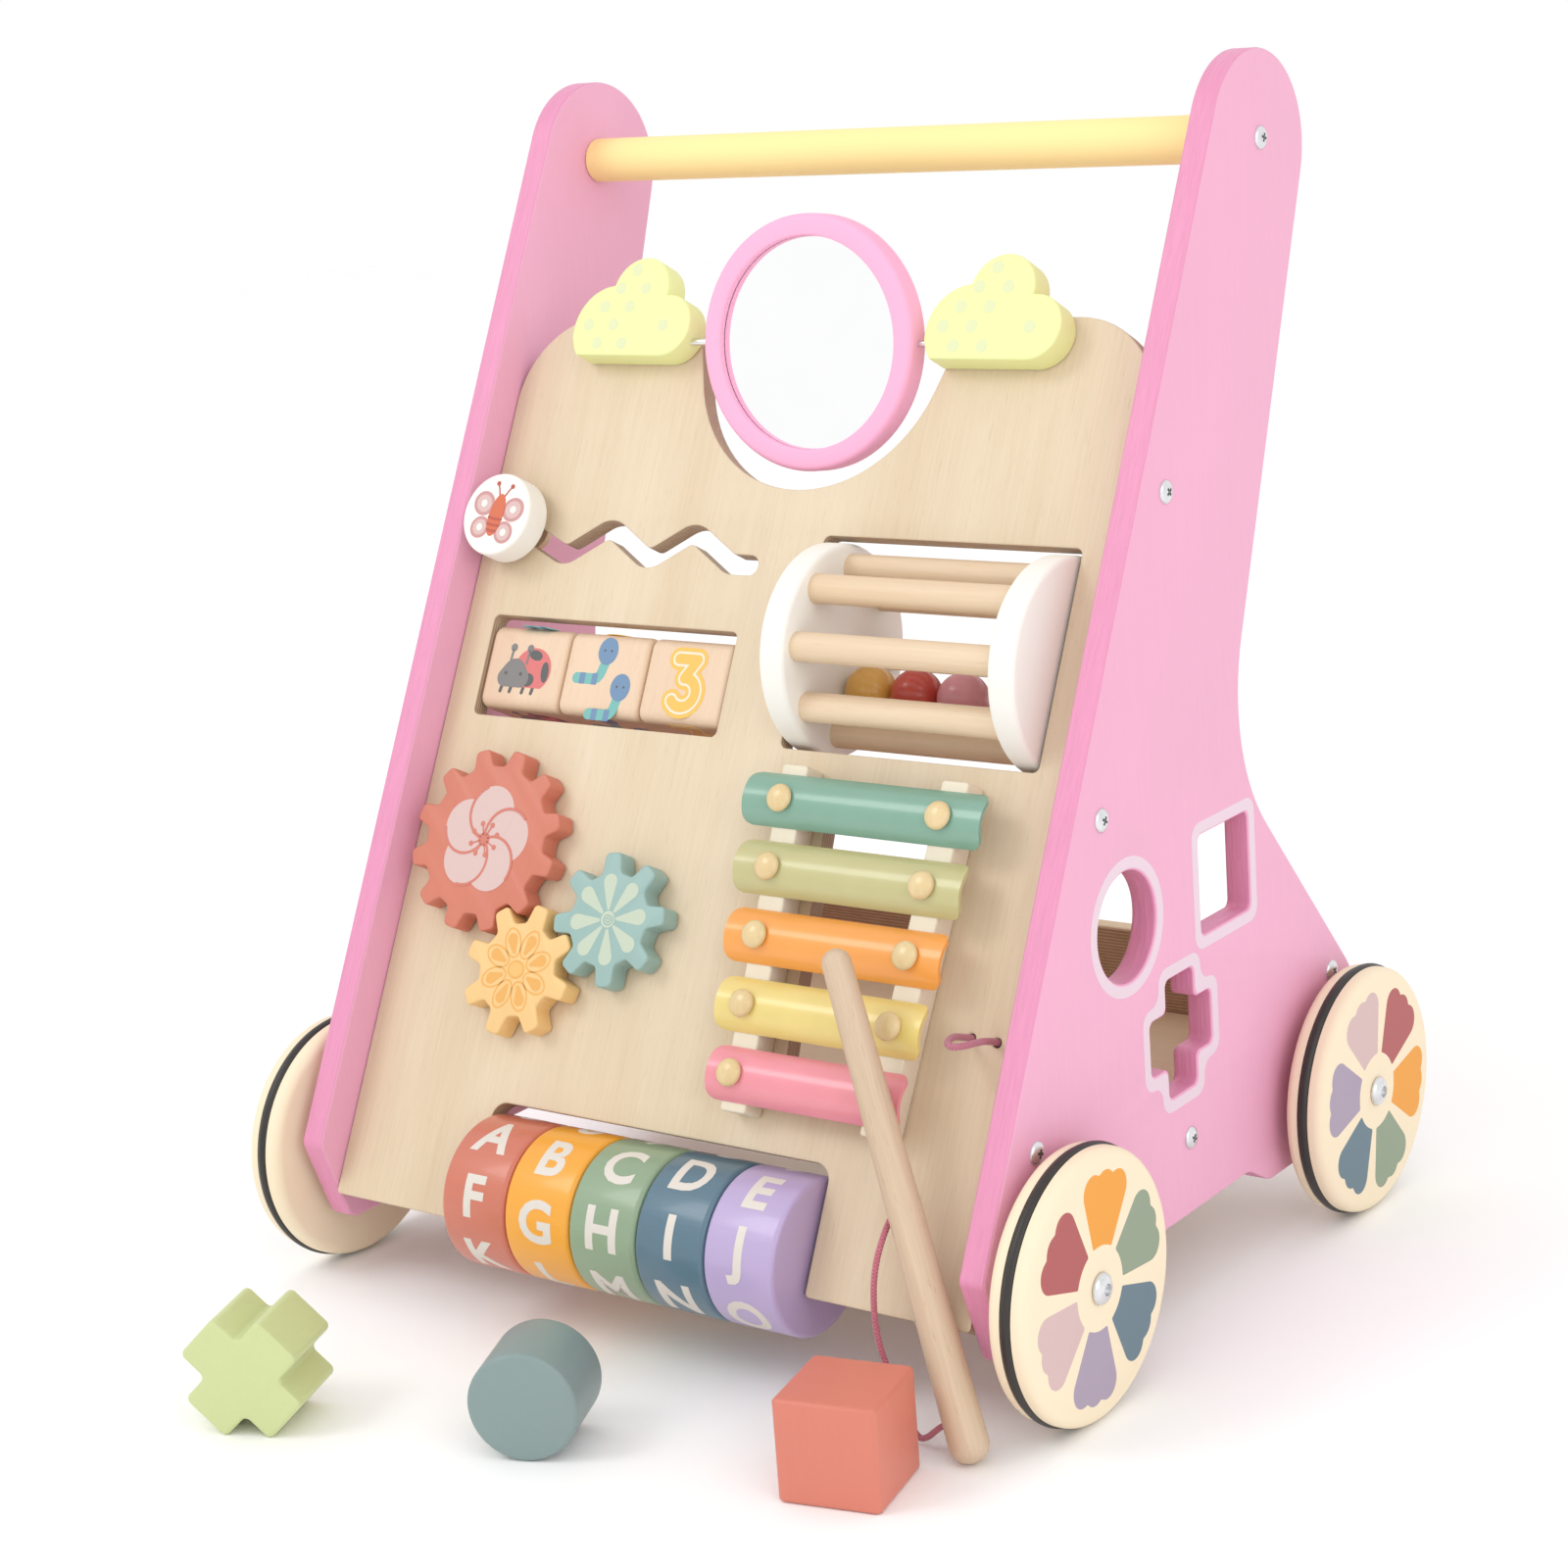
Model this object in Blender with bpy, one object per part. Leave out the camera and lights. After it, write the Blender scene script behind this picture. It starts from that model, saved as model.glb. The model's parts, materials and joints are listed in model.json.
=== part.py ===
"""Wooden baby walker with an activity panel, a shape-sorter side and a storage tray.

Sizes are in millimetres. +X is right as seen from the front, -Y is the way it rolls and +Z is
up. Everything is measured from the front axle's middle on the floor, and the whole
walker is centred over the origin at the end. The front panel leans back, and what is mounted
on it is placed by "across" (X), "up" (along the leaning face, from the panel's lower edge)
and "out" (square off the face).
"""

from math import acos, asin, atan2, cos, degrees, hypot, pi, radians, sin, tan

import bmesh
import bpy
from mathutils import Matrix, Vector
from mathutils.geometry import tessellate_polygon

MM = 0.001
GAP = 0.3                    # between pieces that touch or slide on each other

# ---------------------------------------------------------------- overall sizes
BODY_WIDTH = 340.0           # over the two side panels
SIDE_THICK = 11.0
BOARD_THICK = 9.0            # front panel, rear board and floor board
LEAN = 27.457                # degrees, the front edge's lean from upright
WHEELBASE = 230.2
WHEEL_RADIUS = 53.2          # over the rubber ring
WHEEL_WIDTH = 17.0
WHEEL_STAND_OFF = 6.3        # side panel to wheel
HANDLE_BACK = 196.1
HANDLE_HEIGHT = 452.5
HANDLE_DIAMETER = 19.0

# ---------------------------------------------------------------- side panels
GROUND_CLEARANCE = 28.0      # under the axle feet
BELLY_RISE = 10.0            # how much higher the edge is between the feet
WAIST_BACK = 165.4           # narrowest place of the rear edge
WAIST_HEIGHT = 233.0
WAIST_RADIUS = 80.7
SHOULDER_RADIUS = 37.5
ROUND_HOLE = (71.0, 168.3, 43.6)         # back, height, diameter
SQUARE_HOLE = (148.3, 168.8, 40.6)       # back, height, side
CROSS_HOLE = (108.6, 114.2, 48.4, 22.2)  # back, height, span, arm width
HOLE_FILLET = 3.0

# ---------------------------------------------------------------- front panel, across / up / out
PANEL_LOW_BACK = -36.16      # lower edge of the face
PANEL_LOW_HEIGHT = 42.78
PANEL_SHOULDER_UP = 391.0
SHOULDER_ARC = 40.2
DIP_UP = 377.0               # centre of the dip that the mirror hangs in
DIP_RADIUS = 60.5
DIP_LIP = 13.0
PANEL_CORNER = 2.0
SLOT_WIDTH = 8.5
SLOT_BEND = 8.0              # radius at the zigzag's bends
SLOT_START_UP = 295.0        # where the knob rests, beside the left side panel
SLOT_CORNERS = ((-112.5, 283.0), (-90.5, 296.7), (-67.5, 283.0), (-46.0, 296.6), (-24.5, 283.6),
                (-14.5, 283.6))

# ---------------------------------------------------------------- picture blocks
BLOCK_SECTION = 36.0
BLOCK_LENGTH = 42.3
BLOCK_COUNT = 3
BLOCK_SPACE = 0.9
BLOCK_FILLET = 5.0
BLOCK_RECESS = 1.0
BLOCK_WINDOW_MARGIN = 4.1
BLOCK_MIDDLE = (-78.3, 233.1)
BLOCK_ROD_RADIUS = 2.5
ROD_PLAY = 0.5               # radial play of a turning piece on its rod
SOCKET_DEPTH = 4.0           # of a rod in a side panel

# ---------------------------------------------------------------- rattle drum
DRUM_MIDDLE = (80.1, 253.6)
DRUM_RADIUS = 43.0
DRUM_LENGTH = 118.0
DRUM_DISC = 12.0
DRUM_WINDOW_MARGIN = 1.2
DOWEL_COUNT = 8
DOWEL_RADIUS = 6.0
DOWEL_INSET = 3.9            # from a disc's rim to the dowels
DOWEL_PHASE = 12.4
RATTLE_PIN_RADIUS = 2.4
RATTLE_PIN_SPACE = 0.4       # from the panel's back to the pins
BALL_RADIUS = 10.6
BALL_SPACE = 0.8
BALL_COUNT = 3
BALL_CENTRE_ACROSS = 66.5

# ---------------------------------------------------------------- xylophone
CHIME_ACROSS = 75.3
CHIME_TOP_UP = 186.0
CHIME_PITCH = 27.15
CHIME_LENGTHS = (110.5, 105.3, 100.1, 94.9, 89.7)
CHIME_WIDTH = 21.5
CHIME_RISE = 5.6             # crown above the edges
CHIME_WALL = 1.8
RAIL_OUT = 12.0
RAIL_WIDTH = 12.2
RAIL_TOP = 201.0
RAIL_FOOT = 63.0
RAIL_SPREAD = (37.4, 32.8)   # half the distance between the rails, top and foot
PEG_RADIUS = 2.2
PEG_HEAD_RADIUS = 5.6
PEG_HEAD = 3.6
CHIME_OPENING = (192.0, 72.0, 27.0, 20.6)  # top, foot, half width at the top and at the foot

# ---------------------------------------------------------------- gears
GEAR_PITCH_MODULE = 6.1
RED_TEETH = 12
SMALL_TEETH = 8
GEAR_THICK = 10.0
GEAR_OUT = 0.6
YELLOW_GEAR_AT = (-80.0, 104.3)
RED_GEAR_DIRECTION = 122.0   # degrees, from the yellow gear
BLUE_GEAR_DIRECTION = 32.0
GEAR_PIN_RADIUS = 4.0

# ---------------------------------------------------------------- letter rollers
ROLLER_COUNT = 5
ROLLER_RADIUS = 31.0
ROLLER_PITCH = 33.2
ROLLER_UP = 15.5
ROLLER_OUT = -8.0
ROLLER_ROD_RADIUS = 4.0
ROLLER_ARCH_UP = 50.5
ROLLER_ARCH_MARGIN = 1.6
ROLLER_ARCH_CORNER = 7.0

# ---------------------------------------------------------------- mirror and clouds
MIRROR_OUT = 6.6
RING_RADIUS = 52.2
RING_OPENING = 43.3
RING_THICK = 12.0
MIRROR_RADIUS = 45.8
MIRROR_THICK = 5.4
MIRROR_TILT = 7.0            # degrees that the mirror looks up at rest
CLOUD_THICK = 12.5
CLOUD_ACROSS = (-93.5, 87.5)
CLOUD_UP = 368.6             # flat lower side
MIRROR_PIN_RADIUS = 1.5
PIN_IN_CLOUD = 9.0
PIN_IN_RING = 4.0

# ---------------------------------------------------------------- slider knob
KNOB_RADIUS = 18.2
KNOB_OUT = (5.0, 18.0)
KNOB_SIDE_SPACE = 0.8        # from the knob at rest to the left side panel
STEM_RADIUS = 3.6
STEM_CAP_RADIUS = 7.0

# ---------------------------------------------------------------- storage tray
TRAY_TOP = 74.3              # upper face of the floor board
REAR_BOARD_BACK = WHEELBASE + 1.8      # inner face
REAR_BOARD_TOP = 110.0
TRAY_FRONT = 40.0

# ---------------------------------------------------------------- mallet, cord and loop
MALLET_FOOT = (166.0, -51.6, 7.8)
MALLET_TIP_ACROSS = 96.0
MALLET_TIP_UP = 122.6
MALLET_TIP_OUT = 40.6
MALLET_RADII = (7.6, 5.7)
CORD_RADIUS = 1.2
CORD_HOLE = (123.5, 41.0)
CORD_HOLE_RADIUS = 1.8
LOOP_HOLES = ((134.7, 106.6), (146.0, 106.4))
LOOP_RADIUS = 1.35
LOOP_REACH = 20.0
LOOP_SAG = 6.0
# The cord's route from behind the panel, through its hole, down to the floor and to the mallet.
CORD_ROUTE = ((123.5, -7.5, 74.1), (123.5, -13.7, 77.3), (123.5, -19.0, 80.0), (123.7, -24.2, 81.6),
              (124.3, -30.2, 81.2), (125.2, -36.2, 78.3), (125.3, -40.7, 73.4), (124.8, -43.8, 67.0),
              (124.4, -45.6, 59.4), (124.4, -46.5, 51.3), (125.0, -47.0, 43.6), (126.5, -47.2, 35.6),
              (129.0, -47.3, 28.0), (131.9, -47.5, 20.4), (135.1, -47.7, 13.2), (138.6, -48.0, 6.8),
              (142.4, -48.4, 3.2), (146.3, -49.0, 4.6), (149.9, -49.5, 7.7), (152.8, -49.8, 10.2),
              (155.2, -50.0, 11.9))

# ---------------------------------------------------------------- loose sorting shapes
SHAPE_PLAY = 0.3             # between a shape and its hole, all round
SHAPE_LENGTH = 34.0
CUBE_AT = (137.0, -86.0, 12.4)           # across, back, turn in degrees
CYLINDER_AT = (13.0, -112.0, 23.0)
CROSS_AT = (-98.0, -146.0, 20.6)

# ---------------------------------------------------------------- worked out from the above
FACE = BODY_WIDTH / 2
INNER = FACE - SIDE_THICK
PANEL_HALF = INNER - GAP
LEAN_TAN = tan(radians(LEAN))
SIDE_FRONT_BACK = -77.6      # where the side's front edge line meets the floor
WHEEL_INNER = FACE + WHEEL_STAND_OFF
WHEEL_OUTER = WHEEL_INNER + WHEEL_WIDTH
AXLES = {"front": 0.0, "rear": WHEELBASE}
PITCH_RED = GEAR_PITCH_MODULE * RED_TEETH / 2
PITCH_SMALL = GEAR_PITCH_MODULE * SMALL_TEETH / 2
RED_TIP, SMALL_TIP = PITCH_RED + 2.8, PITCH_SMALL + 3.7
TOOTH_CLEARANCE = 1.0
CHIME_CROWN = RAIL_OUT + GAP + CHIME_RISE
DRUM_OUT = -BOARD_THICK - RATTLE_PIN_SPACE - RATTLE_PIN_RADIUS
DOWEL_CIRCLE = DRUM_RADIUS - DOWEL_INSET - DOWEL_RADIUS
SLOT_START = (KNOB_RADIUS + KNOB_SIDE_SPACE - INNER, SLOT_START_UP)

UPRIGHT = Matrix.Identity(4)
# Turns a shape's own Z to +X, its X to the frame's Y and its Y to the frame's Z.
ALONG_X = Matrix(((0, 0, 1, 0), (1, 0, 0, 0), (0, 1, 0, 0), (0, 0, 0, 1)))


# ================================================================ scene and materials
def clear_scene():
    for item in list(bpy.data.objects):
        bpy.data.objects.remove(item, do_unlink=True)


def material(name, colour, roughness=0.45, metallic=0.0):
    mat = bpy.data.materials.new(name)
    mat.use_nodes = True
    shader = mat.node_tree.nodes["Principled BSDF"]
    shader.inputs["Base Color"].default_value = (*colour, 1.0)
    shader.inputs["Roughness"].default_value = roughness
    shader.inputs["Metallic"].default_value = metallic
    return mat


def frame(name, matrix=UPRIGHT, parent=None):
    """An empty that carries the pieces mounted on it."""
    empty = bpy.data.objects.new(name, None)
    bpy.context.collection.objects.link(empty)
    empty.parent = parent
    empty.matrix_local = matrix
    return empty


def at(across=0.0, second=0.0, third=0.0, turn=UPRIGHT):
    """A placing matrix from millimetres."""
    return Matrix.Translation(Vector((across, second, third)) * MM) @ turn


def add(name, mesh_data, mat, parent, matrix=UPRIGHT, smooth=35.0):
    """A named piece from a bmesh, faces out, shaded smooth up to an angle."""
    bmesh.ops.recalc_face_normals(mesh_data, faces=mesh_data.faces)
    mesh = bpy.data.meshes.new(name)
    mesh_data.to_mesh(mesh)
    mesh_data.free()
    piece = bpy.data.objects.new(name, mesh)
    bpy.context.collection.objects.link(piece)
    if mat:
        mesh.materials.append(mat)
    mesh.shade_smooth()
    mesh.set_sharp_from_angle(angle=radians(smooth))
    piece.parent = parent
    piece.matrix_local = matrix
    return piece


def combine(piece, name, mesh_data, matrix, operation):
    """Cuts a shape from a piece, or joins it on, with a hidden helper."""
    helper = add(name, mesh_data, None, piece.parent, matrix)
    helper.hide_render = True
    helper.display_type = "WIRE"
    change = piece.modifiers.new(name, "BOOLEAN")
    change.operation = operation
    change.solver = "EXACT"
    change.object = helper
    return helper


# ================================================================ outlines, counter-clockwise
def circle(centre, radius, count, phase=0.0):
    return [(centre[0] + radius * cos(phase + 2 * pi * k / count),
             centre[1] + radius * sin(phase + 2 * pi * k / count)) for k in range(count)]


def tangent_angle(first, second):
    """The direction from each centre to the outline where it leaves one circle for the next.

    A circle is (x, y, radius), and a negative radius is a hollow that the outline goes round.
    """
    run, rise = second[0] - first[0], second[1] - first[1]
    return atan2(rise, run) - acos((first[2] - second[2]) / hypot(run, rise))


def belt(circles, step=14.0):
    """A closed outline round a row of circles, joined by their common tangents."""
    points = []
    for k, here in enumerate(circles):
        start = tangent_angle(circles[k - 1], here)
        end = tangent_angle(here, circles[(k + 1) % len(circles)])
        radius = here[2]
        turn = (end - start) % (2 * pi) if radius > 0 else -((start - end) % (2 * pi))
        parts = max(1, round(abs(degrees(turn)) / step))
        points += [(here[0] + radius * cos(start + turn * j / parts),
                    here[1] + radius * sin(start + turn * j / parts)) for j in range(parts + 1)]
    return points


def rounded(corners, radius, parts=3, closed=True):
    """A polygon with its corners rounded by one radius, or an open line with its bends rounded."""
    points = []
    for k, corner in enumerate(corners):
        if not closed and k in (0, len(corners) - 1):
            points.append(corner)
            continue
        here = Vector(corner)
        before = (Vector(corners[k - 1]) - here).normalized()
        after = (Vector(corners[(k + 1) % len(corners)]) - here).normalized()
        half = acos(max(-1.0, min(1.0, before.dot(after)))) / 2
        centre = here + (before + after).normalized() * (radius / sin(half))
        start = here + before * (radius / tan(half)) - centre
        end = here + after * (radius / tan(half)) - centre
        sweep = start.angle_signed(end)
        first = atan2(start.y, start.x)
        points += [(centre.x + radius * cos(first - sweep * j / parts),
                    centre.y + radius * sin(first - sweep * j / parts)) for j in range(parts + 1)]
    return points


def box_outline(left, low, right, high, radius, parts=3):
    return rounded(((left, low), (right, low), (right, high), (left, high)), radius, parts)


def stroke(path, width, cap_parts=6):
    """The outline of a line of even width with round ends and mitred bends."""
    sides = ([], [])
    count = len(path)
    for k, point in enumerate(path):
        here = Vector(point)
        ahead = (Vector(path[min(k + 1, count - 1)]) - here)
        behind = (here - Vector(path[max(k - 1, 0)]))
        ahead = (ahead if ahead.length else behind).normalized()
        behind = (behind if behind.length else ahead).normalized()
        normal = Vector((-ahead.y - behind.y, ahead.x + behind.x)).normalized()
        reach = width / 2 / max(0.5, normal.dot(Vector((-ahead.y, ahead.x))))
        sides[0].append(here - normal * reach)
        sides[1].append(here + normal * reach)

    def cap(centre, heading):
        return [Vector((centre[0] + width / 2 * cos(heading + a), centre[1] + width / 2 * sin(heading + a)))
                for a in (-pi / 2 + pi * j / cap_parts for j in range(1, cap_parts))]

    last = Vector(path[-1]) - Vector(path[-2])
    first = Vector(path[0]) - Vector(path[1])
    outline = sides[0] + cap(path[-1], atan2(last.y, last.x))
    outline += sides[1][::-1] + cap(path[0], atan2(first.y, first.x))
    return [tuple(point) for point in outline]


def cross_outline(span, width, fillet):
    half, arm = span / 2, width / 2
    quarter = ((half, -arm), (half, arm), (arm, arm))
    corners = []
    for k in range(4):
        cosine, sine = round(cos(k * pi / 2)), round(sin(k * pi / 2))
        corners += [(x * cosine - y * sine, x * sine + y * cosine) for x, y in quarter]
    return rounded(corners, fillet, 2)


def moved(outline, across, up):
    return [(x + across, y + up) for x, y in outline]


# ================================================================ solids
def prism(outline, low, high, holes=()):
    """A plate between two heights, with holes right through."""
    solid = bmesh.new()
    loops = [outline, *holes]
    flat = [[Vector((x, y, 0.0)) for x, y in loop] for loop in loops]
    rings = [[[solid.verts.new((x * MM, y * MM, z * MM)) for x, y in loop] for loop in loops]
             for z in (low, high)]
    for level in rings:
        corners = [vert for loop in level for vert in loop]
        for triangle in tessellate_polygon(flat):
            solid.faces.new([corners[k] for k in triangle])
    for under, over in zip(*rings):
        for k in range(len(under)):
            j = (k + 1) % len(under)
            solid.faces.new((under[k], under[j], over[j], over[k]))
    return solid


def turned(profile, segments, closed=False):
    """A turned solid about Z from (radius, height) points.

    An open profile starts and ends on the axis. A closed one goes round a ring's section.
    """
    solid = bmesh.new()
    rows = []
    for radius, height in profile:
        if radius == 0:
            rows.append([solid.verts.new((0, 0, height * MM))] * segments)
            continue
        rows.append([solid.verts.new((radius * MM * cos(2 * pi * k / segments),
                                      radius * MM * sin(2 * pi * k / segments), height * MM))
                     for k in range(segments)])
    pairs = list(zip(rows, rows[1:]))
    if closed:
        pairs.append((rows[-1], rows[0]))
    for lower, upper in pairs:
        for k in range(segments):
            j = (k + 1) % segments
            face = []
            for vert in (lower[k], lower[j], upper[j], upper[k]):
                if vert not in face:
                    face.append(vert)
            solid.faces.new(face)
    return solid


def rod(radius, low, high, segments=16):
    return turned(((0, low), (radius, low), (radius, high), (0, high)), segments)


def rounded_disc(radius, low, high, edge, segments, bore=0.0, parts=3):
    """A disc with rounded rims, and a bore where one is given."""
    rim = [(radius - edge + edge * sin(a), low + edge - edge * cos(a))
           for a in (pi / 2 * j / parts for j in range(parts + 1))]
    rim += [(radius - edge + edge * cos(a), high - edge + edge * sin(a))
            for a in (pi / 2 * j / parts for j in range(parts + 1))]
    if bore:
        return turned([(bore, low), *rim, (bore, high)], segments, closed=True)
    return turned([(0, low), *rim, (0, high)], segments)


def ball(radius, segments=16, rows=10):
    return turned([(0, -radius)] + [(radius * sin(pi * k / rows), -radius * cos(pi * k / rows))
                                    for k in range(1, rows)] + [(0, radius)], segments)


def smooth_route(points, spacing):
    """Points at an even spacing on a smooth curve through a route."""
    route = [Vector(point) for point in points]
    route = [route[0] * 2 - route[1], *route, route[-1] * 2 - route[-2]]
    fine = []
    for a, b, c, d in zip(route, route[1:], route[2:], route[3:]):
        for k in range(12):
            t = k / 12
            fine.append(0.5 * (2 * b + (c - a) * t + (2 * a - 5 * b + 4 * c - d) * t * t
                               + (3 * b - a - 3 * c + d) * t * t * t))
    fine.append(route[-2])
    length = sum((q - p).length for p, q in zip(fine, fine[1:]))
    count = max(4, round(length / spacing))
    result, passed, k = [fine[0]], 0.0, 0
    for n in range(1, count):
        target = length * n / count
        while passed + (fine[k + 1] - fine[k]).length < target:
            passed += (fine[k + 1] - fine[k]).length
            k += 1
        step = fine[k + 1] - fine[k]
        result.append(fine[k] + step * ((target - passed) / step.length))
    result.append(fine[-1])
    return result


def tube(name, points, radius, mat, parent, resolution=2):
    """A round cord along points, as a curve with filled caps."""
    curve = bpy.data.curves.new(name, "CURVE")
    curve.dimensions = "3D"
    curve.bevel_depth = radius * MM
    curve.bevel_resolution = resolution
    curve.use_fill_caps = True
    line = curve.splines.new("POLY")
    line.points.add(len(points) - 1)
    for target, point in zip(line.points, points):
        target.co = (*(point * MM), 1.0)
    curve.materials.append(mat)
    piece = bpy.data.objects.new(name, curve)
    bpy.context.collection.objects.link(piece)
    piece.parent = parent
    return piece


# ================================================================ side panels
def side_outline():
    """The side's edge, as back and height, round its corners and hollows."""
    foot = 22.0
    low = GROUND_CLEARANCE
    step = 12.0
    belly = low + BELLY_RISE
    front_foot_end, rear_foot_end = 50.0, WHEELBASE - 50.0
    shoulder = SHOULDER_RADIUS
    top = (HANDLE_BACK + 1.9, HANDLE_HEIGHT - 3.5)
    nose_height = 68.0
    nose_back = SIDE_FRONT_BACK + LEAN_TAN * nose_height
    return belt((
        (nose_back + 5.8, nose_height - 3.0, 5.0),
        (-23.5, low + 7.0, 7.0),
        (front_foot_end, low + step, step),
        (front_foot_end + 24.0, belly - step, -step),
        (rear_foot_end - 24.0, belly - step, -step),
        (rear_foot_end, low + step, step),
        (WHEELBASE + 3.0, low + foot, foot),
        (WHEELBASE - 16.0, low + 44.0, 49.0),
        (WAIST_BACK + WAIST_RADIUS, WAIST_HEIGHT, -WAIST_RADIUS),
        (*top, shoulder),
    ), step=10.0)


def sort_holes():
    """The sorter's three holes: round, square and cross."""
    half = SQUARE_HOLE[2] / 2
    return [
        circle(ROUND_HOLE[:2], ROUND_HOLE[2] / 2, 40),
        moved(box_outline(-half, -half, half, half, HOLE_FILLET), *SQUARE_HOLE[:2]),
        moved(cross_outline(*CROSS_HOLE[2:], HOLE_FILLET), *CROSS_HOLE[:2]),
    ]


def bolt_holes():
    return [circle((back, WHEEL_RADIUS), BOLT_RADIUS + GAP, 16) for back in AXLES.values()]


def panel_point(up, out):
    """Back and height of a place on the leaning panel."""
    lean = radians(LEAN)
    return (PANEL_LOW_BACK + up * sin(lean) - out * cos(lean),
            PANEL_LOW_HEIGHT + up * cos(lean) + out * sin(lean))


def build_sides(root, paint):
    outline = side_outline()
    right = add("right_side_panel", prism(outline, INNER, FACE, sort_holes() + bolt_holes()),
                paint, root, ALONG_X)
    left = add("left_side_panel", prism(outline, -FACE, -INNER, bolt_holes()), paint, root, ALONG_X)
    roller_at = panel_point(ROLLER_UP, ROLLER_OUT)
    block_at = panel_point(BLOCK_MIDDLE[1], -BLOCK_RECESS - BLOCK_SECTION / 2)
    drum_at = panel_point(DRUM_MIDDLE[1], DRUM_OUT)
    end = INNER + SOCKET_DEPTH + GAP
    sockets = (
        (left, "left_roller_socket", roller_at, ROLLER_ROD_RADIUS, -end, -INNER + 1),
        (right, "right_roller_socket", roller_at, ROLLER_ROD_RADIUS, INNER - 1, end),
        (left, "left_block_socket", block_at, BLOCK_ROD_RADIUS, -end, -INNER + 1),
        (right, "right_rattle_socket", drum_at, RATTLE_PIN_RADIUS, INNER - 1, end),
    )
    for panel, name, place, radius, low, high in sockets:
        combine(panel, name, rod(radius + GAP, low, high), at(0, *place) @ ALONG_X, "DIFFERENCE")


def build_handle(root, paint):
    edge = 1.5
    add("handle", rounded_disc(HANDLE_DIAMETER / 2, -PANEL_HALF, PANEL_HALF, edge, 32, parts=1),
        paint, root, at(0, HANDLE_BACK, HANDLE_HEIGHT) @ ALONG_X)


def build_tray(root, wood):
    low = TRAY_TOP - BOARD_THICK
    add("floor_board", prism(box_outline(-PANEL_HALF, TRAY_FRONT, PANEL_HALF, REAR_BOARD_BACK - GAP, 1.0, 1),
                             low, TRAY_TOP), wood, root)
    rear = box_outline(REAR_BOARD_BACK, low, REAR_BOARD_BACK + BOARD_THICK, REAR_BOARD_TOP, 1.0, 1)
    add("rear_board", prism(rear, -PANEL_HALF, PANEL_HALF), wood, root, ALONG_X)


# ================================================================ wheels
BOLT_RADIUS = 3.3
BOLT_HEAD_RADIUS = 6.8
BOLT_HEAD = 3.2
SPACER_RADIUS = 7.0
WHEEL_PLAY = 0.4
RIM_DROP = 1.0               # wood below the rubber ring's crown
RING_SECTION = 2.5


def wheel_profile():
    """Half the wheel's section, as radius and distance along the axle, round the bore."""
    radius, half, edge = WHEEL_RADIUS - RIM_DROP, WHEEL_WIDTH / 2, 2.0
    groove = RING_SECTION + GAP
    centre = WHEEL_RADIUS - RING_SECTION
    mouth = asin((radius - centre) / groove)
    bore = BOLT_RADIUS + WHEEL_PLAY
    points = [(bore, -half)]
    points += [(radius - edge, -half), (radius, -half + edge)]
    # The groove has its corners where the ring's section has its own.
    sweep = [pi - mouth, *(pi + pi * j / 4 for j in range(5)), 2 * pi + mouth]
    points += [(centre + groove * sin(a), groove * cos(a)) for a in sweep]
    points += [(radius, half - edge), (radius - edge, half), (bore, half)]
    return points


def build_wheels(root, wood, rubber, steel):
    middle = (WHEEL_INNER + WHEEL_OUTER) / 2
    section = [(WHEEL_RADIUS - RING_SECTION + RING_SECTION * cos(a), RING_SECTION * sin(a))
               for a in (2 * pi * j / 8 for j in range(8))]
    reach = WHEEL_OUTER + GAP
    bolt = ((0, INNER + GAP), (BOLT_RADIUS, INNER + GAP), (BOLT_RADIUS, FACE + GAP),
            (SPACER_RADIUS, FACE + GAP), (SPACER_RADIUS, WHEEL_INNER - GAP),
            (BOLT_RADIUS, WHEEL_INNER - GAP), (BOLT_RADIUS, reach), (BOLT_HEAD_RADIUS, reach),
            (BOLT_HEAD_RADIUS * 0.86, reach + BOLT_HEAD * 0.5),
            (BOLT_HEAD_RADIUS * 0.5, reach + BOLT_HEAD * 0.87), (0, reach + BOLT_HEAD))
    for end, back in AXLES.items():
        for side, sign in (("left", -1), ("right", 1)):
            hub = at(sign * middle, back, WHEEL_RADIUS) @ ALONG_X
            add(f"{end}_{side}_wheel", turned(wheel_profile(), 36, closed=True), wood, root, hub)
            add(f"{end}_{side}_tyre", turned(section, 36, closed=True), rubber, root, hub)
            turn = ALONG_X if sign > 0 else Matrix.Rotation(pi, 4, "Z") @ ALONG_X
            add(f"{end}_{side}_wheel_bolt", turned(bolt, 12), steel, root, at(0, back, WHEEL_RADIUS) @ turn)


# ================================================================ front panel
def panel_outline():
    half, corner = PANEL_HALF, PANEL_CORNER
    arch, arch_corner = ROLLER_COUNT * ROLLER_PITCH / 2 + ROLLER_ARCH_MARGIN, ROLLER_ARCH_CORNER
    shoulder = (half - SHOULDER_ARC, PANEL_SHOULDER_UP - SHOULDER_ARC, SHOULDER_ARC)
    lip = (DIP_RADIUS + DIP_LIP + 3.5, PANEL_SHOULDER_UP - DIP_LIP, DIP_LIP)
    foot = (half - corner, corner, corner)
    arch_foot = (arch + corner, corner, corner)
    arch_top = (arch - arch_corner, ROLLER_ARCH_UP - arch_corner, -arch_corner)

    def other(spot):
        return (-spot[0], *spot[1:])

    return belt((foot, shoulder, lip, (0.0, DIP_UP, -DIP_RADIUS), other(lip), other(shoulder),
                 other(foot), other(arch_foot), other(arch_top), arch_top, arch_foot))


def block_window():
    half = (BLOCK_COUNT * BLOCK_LENGTH + (BLOCK_COUNT + 1) * BLOCK_SPACE) / 2
    rise = BLOCK_SECTION / 2 + BLOCK_WINDOW_MARGIN
    return moved(box_outline(-half, -rise, half, rise, 2.5), *BLOCK_MIDDLE)


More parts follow.
